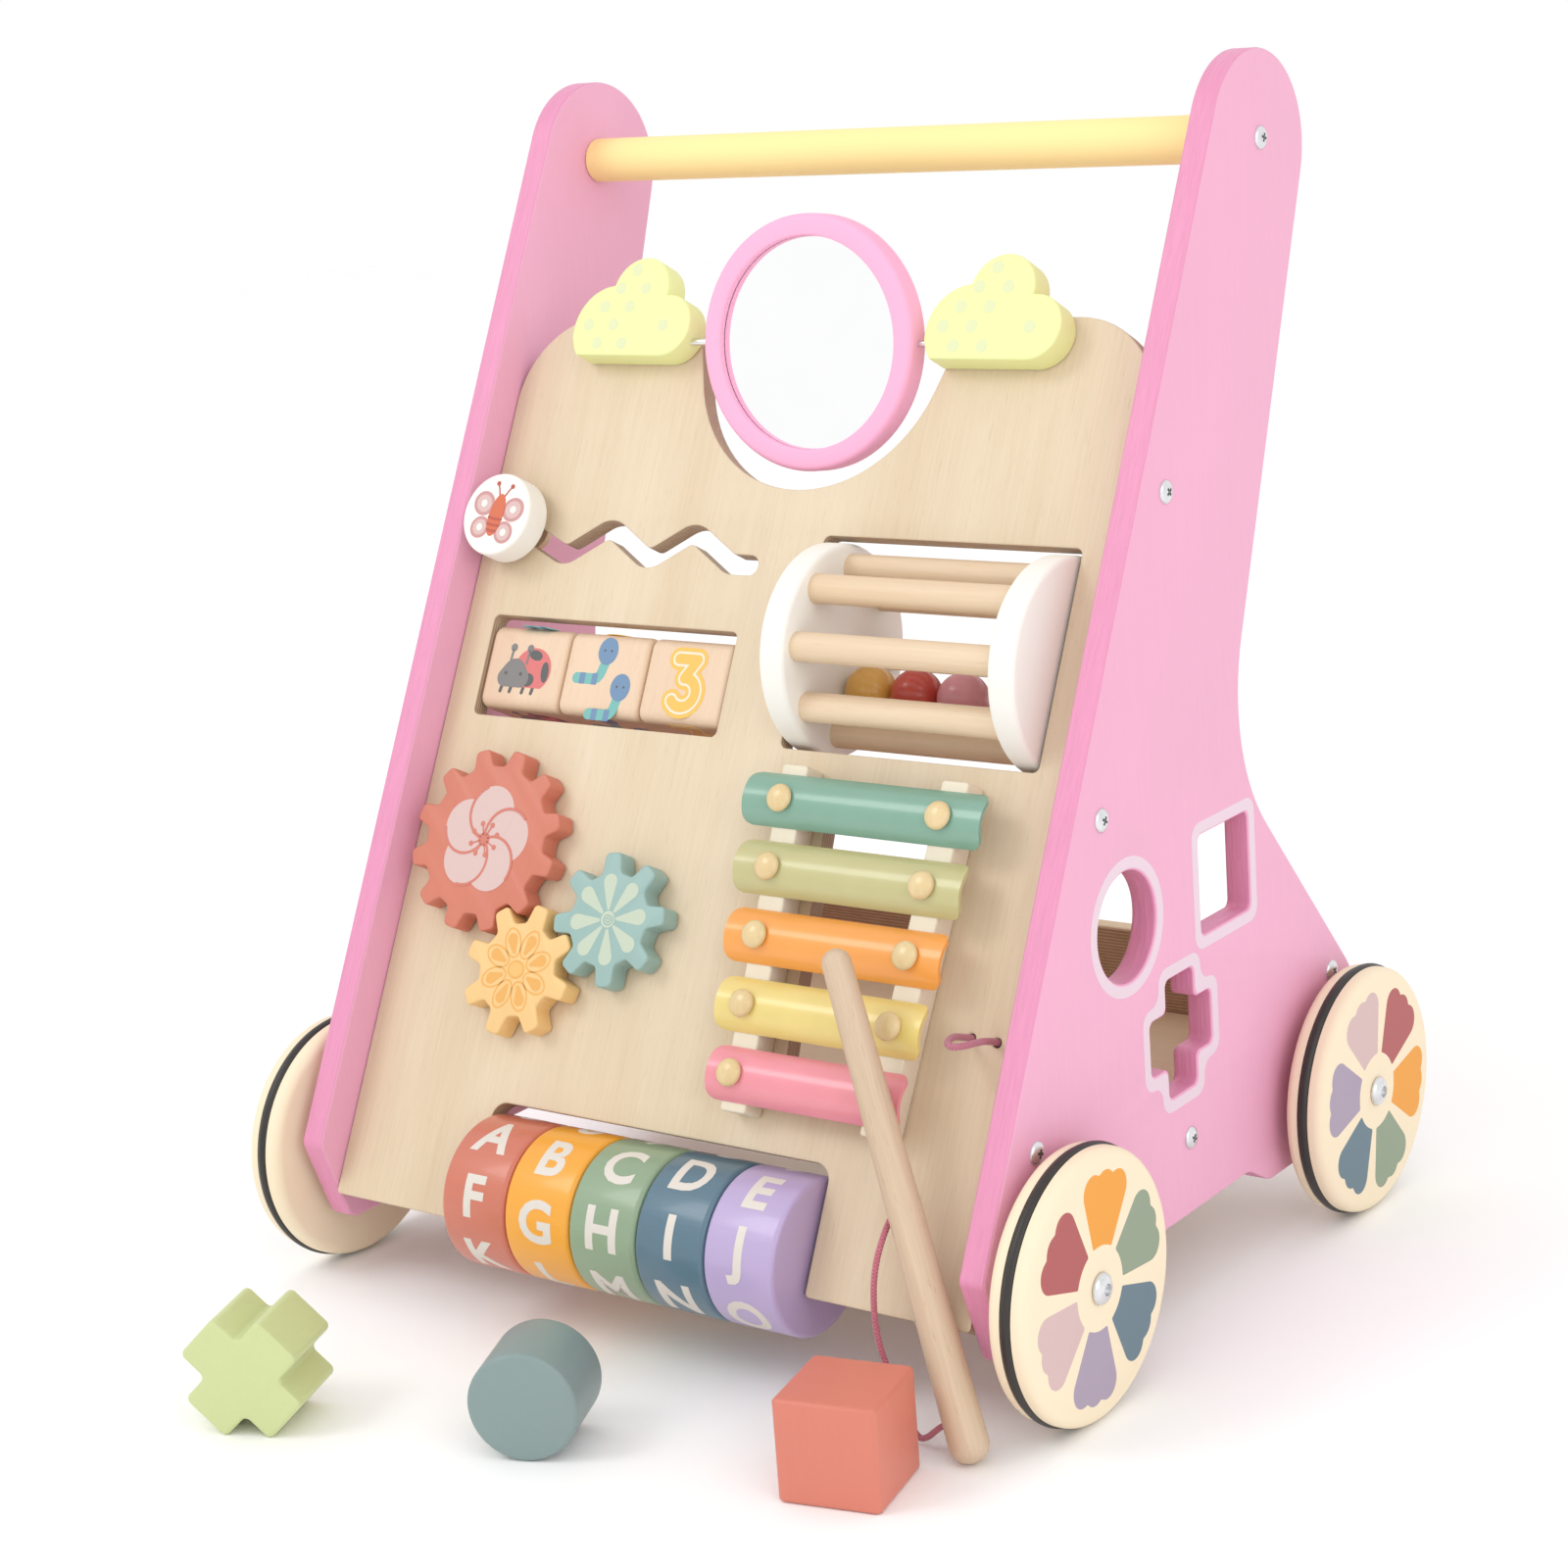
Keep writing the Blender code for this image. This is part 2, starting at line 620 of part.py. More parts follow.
def drum_window():
    half = DRUM_LENGTH / 2 + DRUM_WINDOW_MARGIN
    rise = DRUM_RADIUS + DRUM_WINDOW_MARGIN
    return moved(box_outline(-half, -rise, half, rise, 3.0), *DRUM_MIDDLE)


def chime_window():
    top, foot, wide, narrow = CHIME_OPENING
    corners = ((-narrow, foot), (narrow, foot), (wide, top), (-wide, top))
    return moved(rounded(corners, 4.0), CHIME_ACROSS, 0.0)


def gear_places():
    """Across, up and first tooth's direction of the three gears, in mesh."""
    to_red, to_blue = radians(RED_GEAR_DIRECTION), radians(BLUE_GEAR_DIRECTION)
    reach_red, reach_blue = PITCH_RED + PITCH_SMALL, 2 * PITCH_SMALL
    x, y = YELLOW_GEAR_AT
    return {
        "red": (x + reach_red * cos(to_red), y + reach_red * sin(to_red), to_red + pi / RED_TEETH),
        "yellow": (x, y, to_red),
        "blue": (x + reach_blue * cos(to_blue), y + reach_blue * sin(to_blue), to_blue + pi / SMALL_TEETH),
    }


def build_front_panel(panel, wood):
    holes = [block_window(), drum_window(), chime_window(),
             stroke(rounded((SLOT_START, *SLOT_CORNERS), SLOT_BEND, 5, closed=False), SLOT_WIDTH)]
    holes += [circle(place[:2], GEAR_PIN_RADIUS + ROD_PLAY, 16) for place in gear_places().values()]
    holes.append(circle(CORD_HOLE, CORD_HOLE_RADIUS, 10))
    holes += [circle(place, LOOP_RADIUS + 0.5, 10) for place in LOOP_HOLES]
    board = add("front_panel", prism(panel_outline(), -BOARD_THICK, 0.0, holes), wood, panel)
    # The rollers' rod lies in a groove across the back of both legs.
    combine(board, "rod_groove", rod(ROLLER_ROD_RADIUS + GAP, -INNER - 1, INNER + 1),
            at(0, ROLLER_UP, ROLLER_OUT) @ ALONG_X, "DIFFERENCE")


def build_blocks(panel, wood, steel):
    axis = -BLOCK_RECESS - BLOCK_SECTION / 2
    half = BLOCK_SECTION / 2
    section = box_outline(-half, -half, half, half, BLOCK_FILLET, 4)
    bore = circle((0, 0), BLOCK_ROD_RADIUS + ROD_PLAY, 14)
    pitch = BLOCK_LENGTH + BLOCK_SPACE
    for k in range(BLOCK_COUNT):
        centre = BLOCK_MIDDLE[0] + (k - (BLOCK_COUNT - 1) / 2) * pitch
        add(f"picture_block_{k + 1}", prism(section, -BLOCK_LENGTH / 2, BLOCK_LENGTH / 2, [bore]), wood, panel,
            at(centre, BLOCK_MIDDLE[1], axis) @ ALONG_X)
    add("block_rod", rod(BLOCK_ROD_RADIUS, -INNER - SOCKET_DEPTH, BRACKET_MIDDLE - GAP), steel, panel,
        at(0, BLOCK_MIDDLE[1], axis) @ ALONG_X)


# ================================================================ rod bracket behind the panel
BRACKET_MIDDLE = 3.5         # across; both blind sockets stop short of it
BRACKET_HALF = 9.0
BRACKET_FILLET = 3.0


def build_bracket(panel, wood):
    """A wooden block that holds the picture blocks' rod and the drum's left pin."""
    block_out = -BLOCK_RECESS - BLOCK_SECTION / 2
    low, high = BLOCK_MIDDLE[1] - 10.0, DRUM_MIDDLE[1] + 10.0
    section = box_outline(low, block_out - 8.0, high, -BOARD_THICK - GAP, BRACKET_FILLET, 2)
    left, right = BRACKET_MIDDLE - BRACKET_HALF, BRACKET_MIDDLE + BRACKET_HALF
    bracket = add("rod_bracket", prism(section, left, right), wood, panel, ALONG_X)
    combine(bracket, "bracket_block_socket", rod(BLOCK_ROD_RADIUS + GAP, left - 1, BRACKET_MIDDLE),
            at(0, BLOCK_MIDDLE[1], block_out) @ ALONG_X, "DIFFERENCE")
    combine(bracket, "bracket_drum_socket", rod(RATTLE_PIN_RADIUS + GAP, BRACKET_MIDDLE + 1, right + 1),
            at(0, DRUM_MIDDLE[1], DRUM_OUT) @ ALONG_X, "DIFFERENCE")


# ================================================================ rattle drum
PIN_IN_DISC = 8.0


def dowel_spots():
    return [(DOWEL_CIRCLE * cos(a), DOWEL_CIRCLE * sin(a))
            for a in (radians(DOWEL_PHASE) + 2 * pi * k / DOWEL_COUNT for k in range(DOWEL_COUNT))]


def build_drum(panel, paint, steel, ball_paints):
    centre = at(DRUM_MIDDLE[0], DRUM_MIDDLE[1], DRUM_OUT) @ ALONG_X
    half = DRUM_LENGTH / 2
    left = add("rattle_left_disc", rounded_disc(DRUM_RADIUS, -half, -half + DRUM_DISC, 2.0, 40, parts=1),
               paint, panel, centre)
    right = add("rattle_right_disc", rounded_disc(DRUM_RADIUS, half - DRUM_DISC, half, 2.0, 40, parts=1),
                paint, panel, centre)
    seat = half - DRUM_DISC
    for k, spot in enumerate(dowel_spots()):
        place = centre @ at(*spot)
        combine(left, f"dowel_{k + 1}", rod(DOWEL_RADIUS, -seat - 4.0, seat + 4.0, 12), place, "UNION")
        combine(right, f"dowel_socket_{k + 1}", rod(DOWEL_RADIUS + GAP, seat - 1.0, seat + 4.0 + GAP, 12),
                place, "DIFFERENCE")
    for disc, name, low, high in ((left, "left_pin_socket", -half - 1, -half + PIN_IN_DISC),
                                  (right, "right_pin_socket", half - PIN_IN_DISC, half + 1)):
        combine(disc, name, rod(RATTLE_PIN_RADIUS + ROD_PLAY, low, high, 14), centre, "DIFFERENCE")
    left_end, right_end = DRUM_MIDDLE[0] - half, DRUM_MIDDLE[0] + half
    pin_line = at(0, DRUM_MIDDLE[1], DRUM_OUT) @ ALONG_X
    add("left_rattle_pin", rod(RATTLE_PIN_RADIUS, BRACKET_MIDDLE + 1 + GAP, left_end + PIN_IN_DISC - 1),
        steel, panel, pin_line)
    add("right_rattle_pin", rod(RATTLE_PIN_RADIUS, right_end - PIN_IN_DISC + 1, INNER + SOCKET_DEPTH),
        steel, panel, pin_line)
    # The balls lie at the bottom of the cage, clear of the dowels' path.
    fall = DOWEL_CIRCLE - DOWEL_RADIUS - BALL_RADIUS - 2 * GAP
    up = DRUM_MIDDLE[1] - fall * cos(radians(LEAN))
    out = DRUM_OUT - fall * sin(radians(LEAN))
    for k in range(BALL_COUNT):
        across = BALL_CENTRE_ACROSS + (k - (BALL_COUNT - 1) / 2) * (2 * BALL_RADIUS + BALL_SPACE)
        add(f"rattle_ball_{k + 1}", ball(BALL_RADIUS), ball_paints[k], panel, at(across, up, out) @ ALONG_X)


# ================================================================ xylophone
def rail_spread(up):
    """Half the distance between the rails at a height."""
    top, foot = RAIL_SPREAD
    return foot + (top - foot) * (up - RAIL_FOOT) / (RAIL_TOP - RAIL_FOOT)


def chime_ups():
    return [CHIME_TOP_UP - k * CHIME_PITCH for k in range(len(CHIME_LENGTHS))]


def chime_section():
    """The bar's arched section: up and out, crown above two edges."""
    half, rise = CHIME_WIDTH / 2, CHIME_RISE
    radius = (half * half + rise * rise) / (2 * rise)
    reach = asin(half / radius)
    inner = radius - CHIME_WALL
    inner_reach = acos((radius - rise) / inner)
    outer_arc = [(radius * sin(a), radius * cos(a) - radius + rise)
                 for a in (reach - 2 * reach * j / 10 for j in range(11))]
    inner_arc = [(inner * sin(a), inner * cos(a) - radius + rise)
                 for a in (-inner_reach + 2 * inner_reach * j / 10 for j in range(11))]
    return outer_arc + inner_arc


def build_chimes(panel, wood, paints):
    for side, sign in (("left", -1), ("right", 1)):
        half = RAIL_WIDTH / 2
        corners = [(CHIME_ACROSS + sign * rail_spread(up) + edge, up)
                   for up, edge in ((RAIL_FOOT, -half), (RAIL_FOOT, half), (RAIL_TOP, half), (RAIL_TOP, -half))]
        rail = add(f"{side}_chime_rail", prism(rounded(corners, 1.5, 2), GAP, RAIL_OUT), wood, panel)
        under_head = CHIME_CROWN + GAP
        peg = ((0, RAIL_OUT - 3), (PEG_RADIUS, RAIL_OUT - 3), (PEG_RADIUS, under_head),
               (PEG_HEAD_RADIUS, under_head), (PEG_HEAD_RADIUS, under_head + PEG_HEAD * 0.3),
               (PEG_HEAD_RADIUS * 0.75, under_head + PEG_HEAD * 0.78), (0, under_head + PEG_HEAD))
        for k, up in enumerate(chime_ups()):
            combine(rail, f"{side}_peg_{k + 1}", turned(peg, 12),
                    at(CHIME_ACROSS + sign * rail_spread(up), up), "UNION")
    for k, (up, length) in enumerate(zip(chime_ups(), CHIME_LENGTHS)):
        chime = add(f"chime_bar_{k + 1}", prism(chime_section(), -length / 2, length / 2), paints[k], panel,
                    at(CHIME_ACROSS, up, RAIL_OUT + GAP) @ ALONG_X)
        for side, sign in (("left", -1), ("right", 1)):
            combine(chime, f"{side}_hole_{k + 1}", rod(PEG_RADIUS + ROD_PLAY, RAIL_OUT, CHIME_CROWN + 3, 12),
                    at(CHIME_ACROSS + sign * rail_spread(up), up), "DIFFERENCE")


# ================================================================ gears
def gear_outline(teeth, pitch_radius, tip, root):
    """Chunky teeth with sloping flanks and rounded tips, the first at angle 0."""
    half_pitch = pi / teeth
    at_root, at_pitch, at_tip = 0.74, 0.45, 0.20
    points = []
    for k in range(teeth):
        middle = 2 * half_pitch * k
        shape = ((root, -at_root), (pitch_radius, -at_pitch), (tip - 0.9, -at_tip - 0.04), (tip, -at_tip * 0.55),
                 (tip, at_tip * 0.55), (tip - 0.9, at_tip + 0.04), (pitch_radius, at_pitch), (root, at_root))
        points += [(r * cos(middle + a * half_pitch), r * sin(middle + a * half_pitch)) for r, a in shape]
    return points


def build_gears(panel, paints):
    sizes = {
        "red": (RED_TEETH, PITCH_RED, RED_TIP, PITCH_RED + PITCH_SMALL - SMALL_TIP - TOOTH_CLEARANCE),
        "yellow": (SMALL_TEETH, PITCH_SMALL, SMALL_TIP, 2 * PITCH_SMALL - SMALL_TIP - TOOTH_CLEARANCE),
        "blue": (SMALL_TEETH, PITCH_SMALL, SMALL_TIP, 2 * PITCH_SMALL - SMALL_TIP - TOOTH_CLEARANCE),
    }
    back = -BOARD_THICK - 0.6
    pin = ((0, back - 3.0), (GEAR_PIN_RADIUS + 3, back - 3.0), (GEAR_PIN_RADIUS + 3, back),
           (GEAR_PIN_RADIUS, back), (GEAR_PIN_RADIUS, GEAR_OUT + 4.0), (0, GEAR_OUT + 4.0))
    for colour, (across, up, first) in gear_places().items():
        place = at(across, up, 0, Matrix.Rotation(first, 4, "Z"))
        gear = add(f"{colour}_gear", prism(gear_outline(*sizes[colour]), GEAR_OUT, GEAR_OUT + GEAR_THICK),
                   paints[colour], panel, place, smooth=50.0)
        combine(gear, f"{colour}_gear_pin", turned(pin, 14), place, "UNION")


# ================================================================ letter rollers
def build_rollers(panel, paints, steel):
    axis = at(0, ROLLER_UP, ROLLER_OUT) @ ALONG_X
    half = (ROLLER_PITCH - GAP) / 2
    for k in range(ROLLER_COUNT):
        centre = (k - (ROLLER_COUNT - 1) / 2) * ROLLER_PITCH
        add(f"letter_roller_{k + 1}", rounded_disc(ROLLER_RADIUS, -half, half, 2.0, 36,
                                                   ROLLER_ROD_RADIUS + ROD_PLAY, 2),
            paints[k], panel, at(centre) @ axis)
    add("roller_rod", rod(ROLLER_ROD_RADIUS, -INNER - SOCKET_DEPTH, INNER + SOCKET_DEPTH), steel, panel, axis)


# ================================================================ mirror between two clouds
def cloud_outline():
    """Three lobes over a flat lower side, as the farthest reach in each direction."""
    lobes = ((-12.0, 12.2, 19.2), (1.0, 29.0, 14.8), (17.5, 13.6, 13.6), (-20.8, 10.4, 10.4))
    middle = (0.0, 15.0)
    points = []
    for k in range(64):
        heading = 2 * pi * k / 64
        dx, dy = cos(heading), sin(heading)
        reach = middle[1] / -dy if dy < 0 and lobes[3][0] < -dx / dy * middle[1] < lobes[2][0] else 0.0
        for x, y, radius in lobes:
            run, rise = x - middle[0], y - middle[1]
            along = run * dx + rise * dy
            inside = radius * radius - (run * run + rise * rise - along * along)
            if inside > 0:
                low_limit = middle[1] / -dy if dy < 0 else 1e9
                reach = max(reach, min(along + inside ** 0.5, low_limit))
        points.append((middle[0] + reach * dx, middle[1] + reach * dy))
    # The flat side keeps only its two ends.
    low = [abs(y) < 0.01 for x, y in points]
    return [point for k, point in enumerate(points) if not (low[k - 1] and low[k] and low[(k + 1) % 64])]


CLOUD_SHOULDER = 31.0        # from a cloud's middle to its side at the pin's height


def build_mirror(panel, paint, cloud_paint, glass, steel):
    line = at(0, DIP_UP, MIRROR_OUT) @ ALONG_X
    centre = MIRROR_ACROSS
    ring_reach = RING_RADIUS - PIN_IN_RING
    for side, sign, across in (("left", -1, CLOUD_ACROSS[0]), ("right", 1, CLOUD_ACROSS[1])):
        cloud = add(f"{side}_cloud", prism(moved(cloud_outline(), across, CLOUD_UP), GAP, GAP + CLOUD_THICK),
                    cloud_paint, panel)
        inner_side = across - sign * CLOUD_SHOULDER
        deep, near = inner_side + sign * PIN_IN_CLOUD, centre + sign * ring_reach
        combine(cloud, f"{side}_cloud_hole", rod(MIRROR_PIN_RADIUS + GAP, min(deep, near), max(deep, near), 10),
                line, "DIFFERENCE")
        near, deep = near + sign * GAP, deep - sign * GAP
        add(f"{side}_mirror_pin", rod(MIRROR_PIN_RADIUS, min(near, deep), max(near, deep), 12), steel,
            panel, line)
    # The ring's own Z is its front, so at rest it looks up by the tilt.
    tilt = Matrix.Rotation(radians(LEAN - MIRROR_TILT), 4, "X")
    place = at(centre, DIP_UP, MIRROR_OUT, tilt)
    half, lip = RING_THICK / 2, MIRROR_THICK / 2 + GAP
    groove = MIRROR_RADIUS + GAP
    edge = 2.0
    section = [(RING_OPENING, -half), (RING_RADIUS - edge, -half), (RING_RADIUS, -half + edge),
               (RING_RADIUS, half - edge), (RING_RADIUS - edge, half), (RING_OPENING, half),
               (RING_OPENING, lip), (groove, lip), (groove, -lip), (RING_OPENING, -lip)]
    ring = add("mirror_ring", turned(section, 48, closed=True), paint, panel, place)
    for side, sign in (("left", -1), ("right", 1)):
        ends = sorted((sign * ring_reach, sign * (RING_RADIUS + 2)))
        combine(ring, f"{side}_ring_hole", rod(MIRROR_PIN_RADIUS + ROD_PLAY, *ends, 12), place @ ALONG_X,
                "DIFFERENCE")
    add("mirror", rod(MIRROR_RADIUS, -MIRROR_THICK / 2, MIRROR_THICK / 2, 48), glass, panel, place)


MIRROR_ACROSS = -1.5


# ================================================================ slider knob
def build_slider(panel, paint, wood):
    place = at(*SLOT_START)
    low, high = KNOB_OUT
    back = -BOARD_THICK - 0.5
    shoulder = low - GAP
    stem = ((0, back - 3), (STEM_CAP_RADIUS, back - 3), (STEM_CAP_RADIUS, back), (STEM_RADIUS, back),
            (STEM_RADIUS, GAP), (STEM_CAP_RADIUS, GAP), (STEM_CAP_RADIUS, shoulder),
            (STEM_RADIUS, shoulder), (STEM_RADIUS, high - 4), (0, high - 4))
    add("slider_stem", turned(stem, 16), wood, panel, place)
    bore = STEM_RADIUS + ROD_PLAY
    knob = [(KNOB_RADIUS - 2, low), (KNOB_RADIUS, low + 2), (KNOB_RADIUS, high - 2.2),
            (KNOB_RADIUS - 0.7, high - 0.7), (KNOB_RADIUS - 2.2, high), (0, high)]
    add("slider_knob", turned([(0, high - 3.4), (bore, high - 3.4), (bore, low), *knob], 28), paint, panel, place)


# ================================================================ mallet, its cord and its loop
def mallet_line():
    back, height = panel_point(MALLET_TIP_UP, MALLET_TIP_OUT)
    return Vector(MALLET_FOOT), Vector((MALLET_TIP_ACROSS, back, height))


def build_mallet(root, wood):
    foot, tip = mallet_line()
    length = (tip - foot).length
    thick, thin = MALLET_RADII
    profile = [(0, -thick)] + [(thick * sin(a), -thick * cos(a)) for a in (pi / 8, pi / 4, 3 * pi / 8)]
    profile += [(thick, 0.0), ((thick + thin) / 2, length / 2), (thin, length)]
    profile += [(thin * cos(a), length + thin * sin(a)) for a in (pi / 8, pi / 4, 3 * pi / 8)] + [(0, length + thin)]
    aim = (tip - foot).to_track_quat("Z", "Y").to_matrix().to_4x4()
    add("mallet", turned(profile, 20), wood, root, at(*foot) @ aim)


def build_cord(root, yarn):
    tube("mallet_cord", smooth_route(CORD_ROUTE, 4.0), CORD_RADIUS, yarn, root)


def build_loop(panel, yarn):
    """An elastic loop through two holes, which the mallet is put away in."""
    (left, up), (right, _) = LOOP_HOLES
    middle, half = (left + right) / 2, (right - left) / 2
    back = -BOARD_THICK - 3.0
    route = [(left, up, back), (left, up, -4.0), (left, up, 1.0)]
    for k in range(1, 12):
        angle = pi * k / 12
        out = LOOP_REACH * sin(angle) ** 0.6
        route.append((middle - half * 1.15 * cos(angle), up - LOOP_SAG * (out / LOOP_REACH) ** 2, 1.0 + out))
    route += [(right, up, 1.0), (right, up, -4.0), (right, up, back)]
    tube("mallet_loop", smooth_route(route, 3.0), LOOP_RADIUS, yarn, panel)


# ================================================================ loose sorting shapes
def build_shapes(root, paints):
    side = SQUARE_HOLE[2] - 2 * SHAPE_PLAY
    half = side / 2
    turn = Matrix.Rotation(radians(CUBE_AT[2]), 4, "Z")
    cube = prism(box_outline(-half, -half, half, half, HOLE_FILLET - 0.5, 2), 0, side)
    add("square_shape", cube, paints["square"], root, at(*CUBE_AT[:2], 0, turn))

    lying = Matrix.Rotation(pi / 2, 4, "X")          # a prism's own Z comes to -Y
    radius = ROUND_HOLE[2] / 2 - SHAPE_PLAY
    turn = Matrix.Rotation(radians(CYLINDER_AT[2]), 4, "Z") @ lying
    add("round_shape", rounded_disc(radius, -SHAPE_LENGTH / 2, SHAPE_LENGTH / 2, 1.5, 40, parts=1),
        paints["round"], root, at(*CYLINDER_AT[:2], radius, turn))

    span, width = CROSS_HOLE[2] - 2 * SHAPE_PLAY, CROSS_HOLE[3] - 2 * SHAPE_PLAY
    section = cross_outline(span, width, HOLE_FILLET - 0.3)
    quarter = Matrix.Rotation(pi / 4, 4, "Z")
    lowest = -min((x * sin(pi / 4) + y * cos(pi / 4)) for x, y in section)
    turn = Matrix.Rotation(radians(CROSS_AT[2]), 4, "Z") @ lying @ quarter
    add("cross_shape", prism(section, -SHAPE_LENGTH / 2, SHAPE_LENGTH / 2), paints["cross"], root,
        at(*CROSS_AT[:2], lowest, turn))


# ================================================================ whole walker
def footprint_middle():
    """Middle of the footprint, front to back, of every piece but the free cord."""
    backs = []
    for item in bpy.data.objects:
        if item.type == "MESH" and not item.hide_render:
            backs += [(item.matrix_world @ vertex.co).y for vertex in item.data.vertices]
    return (min(backs) + max(backs)) / 2


def main():
    clear_scene()
    pink = material("pink_paint", (0.86, 0.45, 0.62), 0.45)
    ring_pink = material("ring_paint", (0.93, 0.43, 0.63), 0.35)
    birch = material("birch_ply", (0.84, 0.71, 0.52), 0.55)
    beech = material("beech", (0.86, 0.72, 0.50), 0.5)
    handle_yellow = material("handle_paint", (0.98, 0.78, 0.34), 0.4)
    white = material("white_paint", (0.86, 0.84, 0.78), 0.4)
    cloud_green = material("cloud_paint", (0.79, 0.83, 0.38), 0.4)
    steel = material("steel", (0.75, 0.75, 0.76), 0.25, 1.0)
    rubber = material("rubber", (0.015, 0.014, 0.013), 0.5)
    glass = material("mirror", (0.92, 0.93, 0.94), 0.05, 1.0)
    cord = material("pink_cord", (0.82, 0.32, 0.42), 0.8)
    bar_paints = [material(f"bar_paint_{k + 1}", colour, 0.2) for k, colour in enumerate((
        (0.28, 0.51, 0.40), (0.57, 0.54, 0.26), (0.98, 0.42, 0.11), (0.97, 0.78, 0.30), (0.95, 0.37, 0.42)))]
    roller_paints = [material(f"roller_paint_{k + 1}", colour, 0.35) for k, colour in enumerate((
        (0.64, 0.20, 0.15), (1.0, 0.42, 0.05), (0.33, 0.43, 0.29), (0.11, 0.21, 0.28), (0.51, 0.41, 0.68)))]
    gear_paints = {"red": material("red_gear_paint", (0.71, 0.24, 0.18)),
                   "yellow": material("yellow_gear_paint", (0.98, 0.65, 0.29)),
                   "blue": material("blue_gear_paint", (0.36, 0.51, 0.48))}
    ball_paints = [material(f"ball_paint_{k + 1}", colour, 0.35) for k, colour in enumerate((
        (0.75, 0.45, 0.10), (0.55, 0.06, 0.04), (0.62, 0.26, 0.30)))]
    shape_paints = {"square": material("square_paint", (0.75, 0.25, 0.18)),
                    "round": material("round_paint", (0.27, 0.37, 0.36)),
                    "cross": material("cross_paint", (0.67, 0.75, 0.37))}

    root = frame("walker")
    build_sides(root, pink)
    build_handle(root, handle_yellow)
    build_tray(root, birch)
    build_wheels(root, beech, rubber, steel)
    lean = Matrix.Rotation(radians(90.0 - LEAN), 4, "X")
    panel = frame("panel_frame", at(0, PANEL_LOW_BACK, PANEL_LOW_HEIGHT, lean), root)
    build_front_panel(panel, birch)
    build_blocks(panel, beech, steel)
    build_bracket(panel, birch)
    build_drum(panel, white, steel, ball_paints)
    build_chimes(panel, beech, bar_paints)
    build_gears(panel, gear_paints)
    build_rollers(panel, roller_paints, steel)
    build_mirror(panel, ring_pink, cloud_green, glass, steel)
    build_slider(panel, white, beech)
    build_mallet(root, beech)
    build_cord(root, cord)
    build_loop(panel, cord)
    build_shapes(root, shape_paints)
    bpy.context.view_layer.update()
    root.location.y = -footprint_middle()


main()
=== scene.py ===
"""The looks of a wooden baby walker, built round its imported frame.

Lengths in this file are millimetres unless a name says otherwise, and each sub-assembly is a
class that holds its own sizes. Two working frames carry everything: the walker's, which
stands on the floor under the front axle, and the leaning front panel's, in which x is across,
y is up the slope and z is out of the face.
"""

from __future__ import annotations

import json
import logging
from dataclasses import dataclass, field
from enum import Enum
from math import acos, asin, atan2, cos, degrees, hypot, pi, radians, sin, sqrt, tan
from typing import Any, Callable, Iterable, Sequence

import bmesh
import bpy
from mathutils import Matrix, Vector
from mathutils.geometry import tessellate_polygon

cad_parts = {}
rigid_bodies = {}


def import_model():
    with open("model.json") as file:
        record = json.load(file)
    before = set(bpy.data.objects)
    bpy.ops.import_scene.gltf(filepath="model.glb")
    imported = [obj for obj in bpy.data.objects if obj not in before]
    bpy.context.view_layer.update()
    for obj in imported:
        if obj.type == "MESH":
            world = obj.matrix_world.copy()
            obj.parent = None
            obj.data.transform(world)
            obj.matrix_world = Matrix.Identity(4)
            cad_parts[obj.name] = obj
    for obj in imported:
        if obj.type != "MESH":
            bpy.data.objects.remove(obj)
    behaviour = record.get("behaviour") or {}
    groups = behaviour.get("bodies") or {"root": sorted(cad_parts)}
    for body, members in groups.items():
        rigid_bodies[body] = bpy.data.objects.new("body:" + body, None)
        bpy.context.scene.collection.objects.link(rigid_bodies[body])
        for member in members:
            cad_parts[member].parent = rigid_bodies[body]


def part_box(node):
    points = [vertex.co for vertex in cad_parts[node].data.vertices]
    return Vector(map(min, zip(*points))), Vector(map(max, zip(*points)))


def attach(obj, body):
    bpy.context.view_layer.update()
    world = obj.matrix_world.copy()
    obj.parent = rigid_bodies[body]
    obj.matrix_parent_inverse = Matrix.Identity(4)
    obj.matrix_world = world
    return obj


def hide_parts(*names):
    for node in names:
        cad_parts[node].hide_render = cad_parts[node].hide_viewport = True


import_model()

LOG = logging.getLogger("walker")
MM = 0.001

Colour = tuple[float, float, float]
Point = tuple[float, float]
Outline = list[Point]

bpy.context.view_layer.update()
REFLECTED = 0.84             # how much of its display colour a surface gives back in full light
ALONG_X = Matrix(((0, 0, 1, 0), (1, 0, 0, 0), (0, 1, 0, 0), (0, 0, 0, 1)))
ROOT = "frame"
PANEL_FOOT = (0.0, -36.16, 42.78)    # where the panel's frame stands in the walker's


def rgb(red: int, green: int, blue: int) -> Colour:
    """A display colour, 0 to 255, as the linear light that its surface reflects."""
    def linear(value: float) -> float:
        """One channel as linear light."""
        share = value / 255
        return share / 12.92 if share <= 0.04045 else ((share + 0.055) / 1.055) ** 2.4
    return (linear(red) * REFLECTED, linear(green) * REFLECTED, linear(blue) * REFLECTED)


def at(x: float = 0.0, y: float = 0.0, z: float = 0.0, turn: Matrix | None = None) -> Matrix:
    """A placing matrix, in millimetres.

    Args:
        x, y, z: where the piece's own origin goes.
        turn: how it is turned there.
    """
    return Matrix.Translation((x, y, z)) @ (turn or Matrix.Identity(4))


# ------------------------------------------------------------------------------ outlines
def circle(centre: Point, radius: float, count: int = 64) -> Outline:
    """A regular outline round a centre, counter-clockwise."""
    return [(centre[0] + radius * cos(2 * pi * k / count),
             centre[1] + radius * sin(2 * pi * k / count)) for k in range(count)]


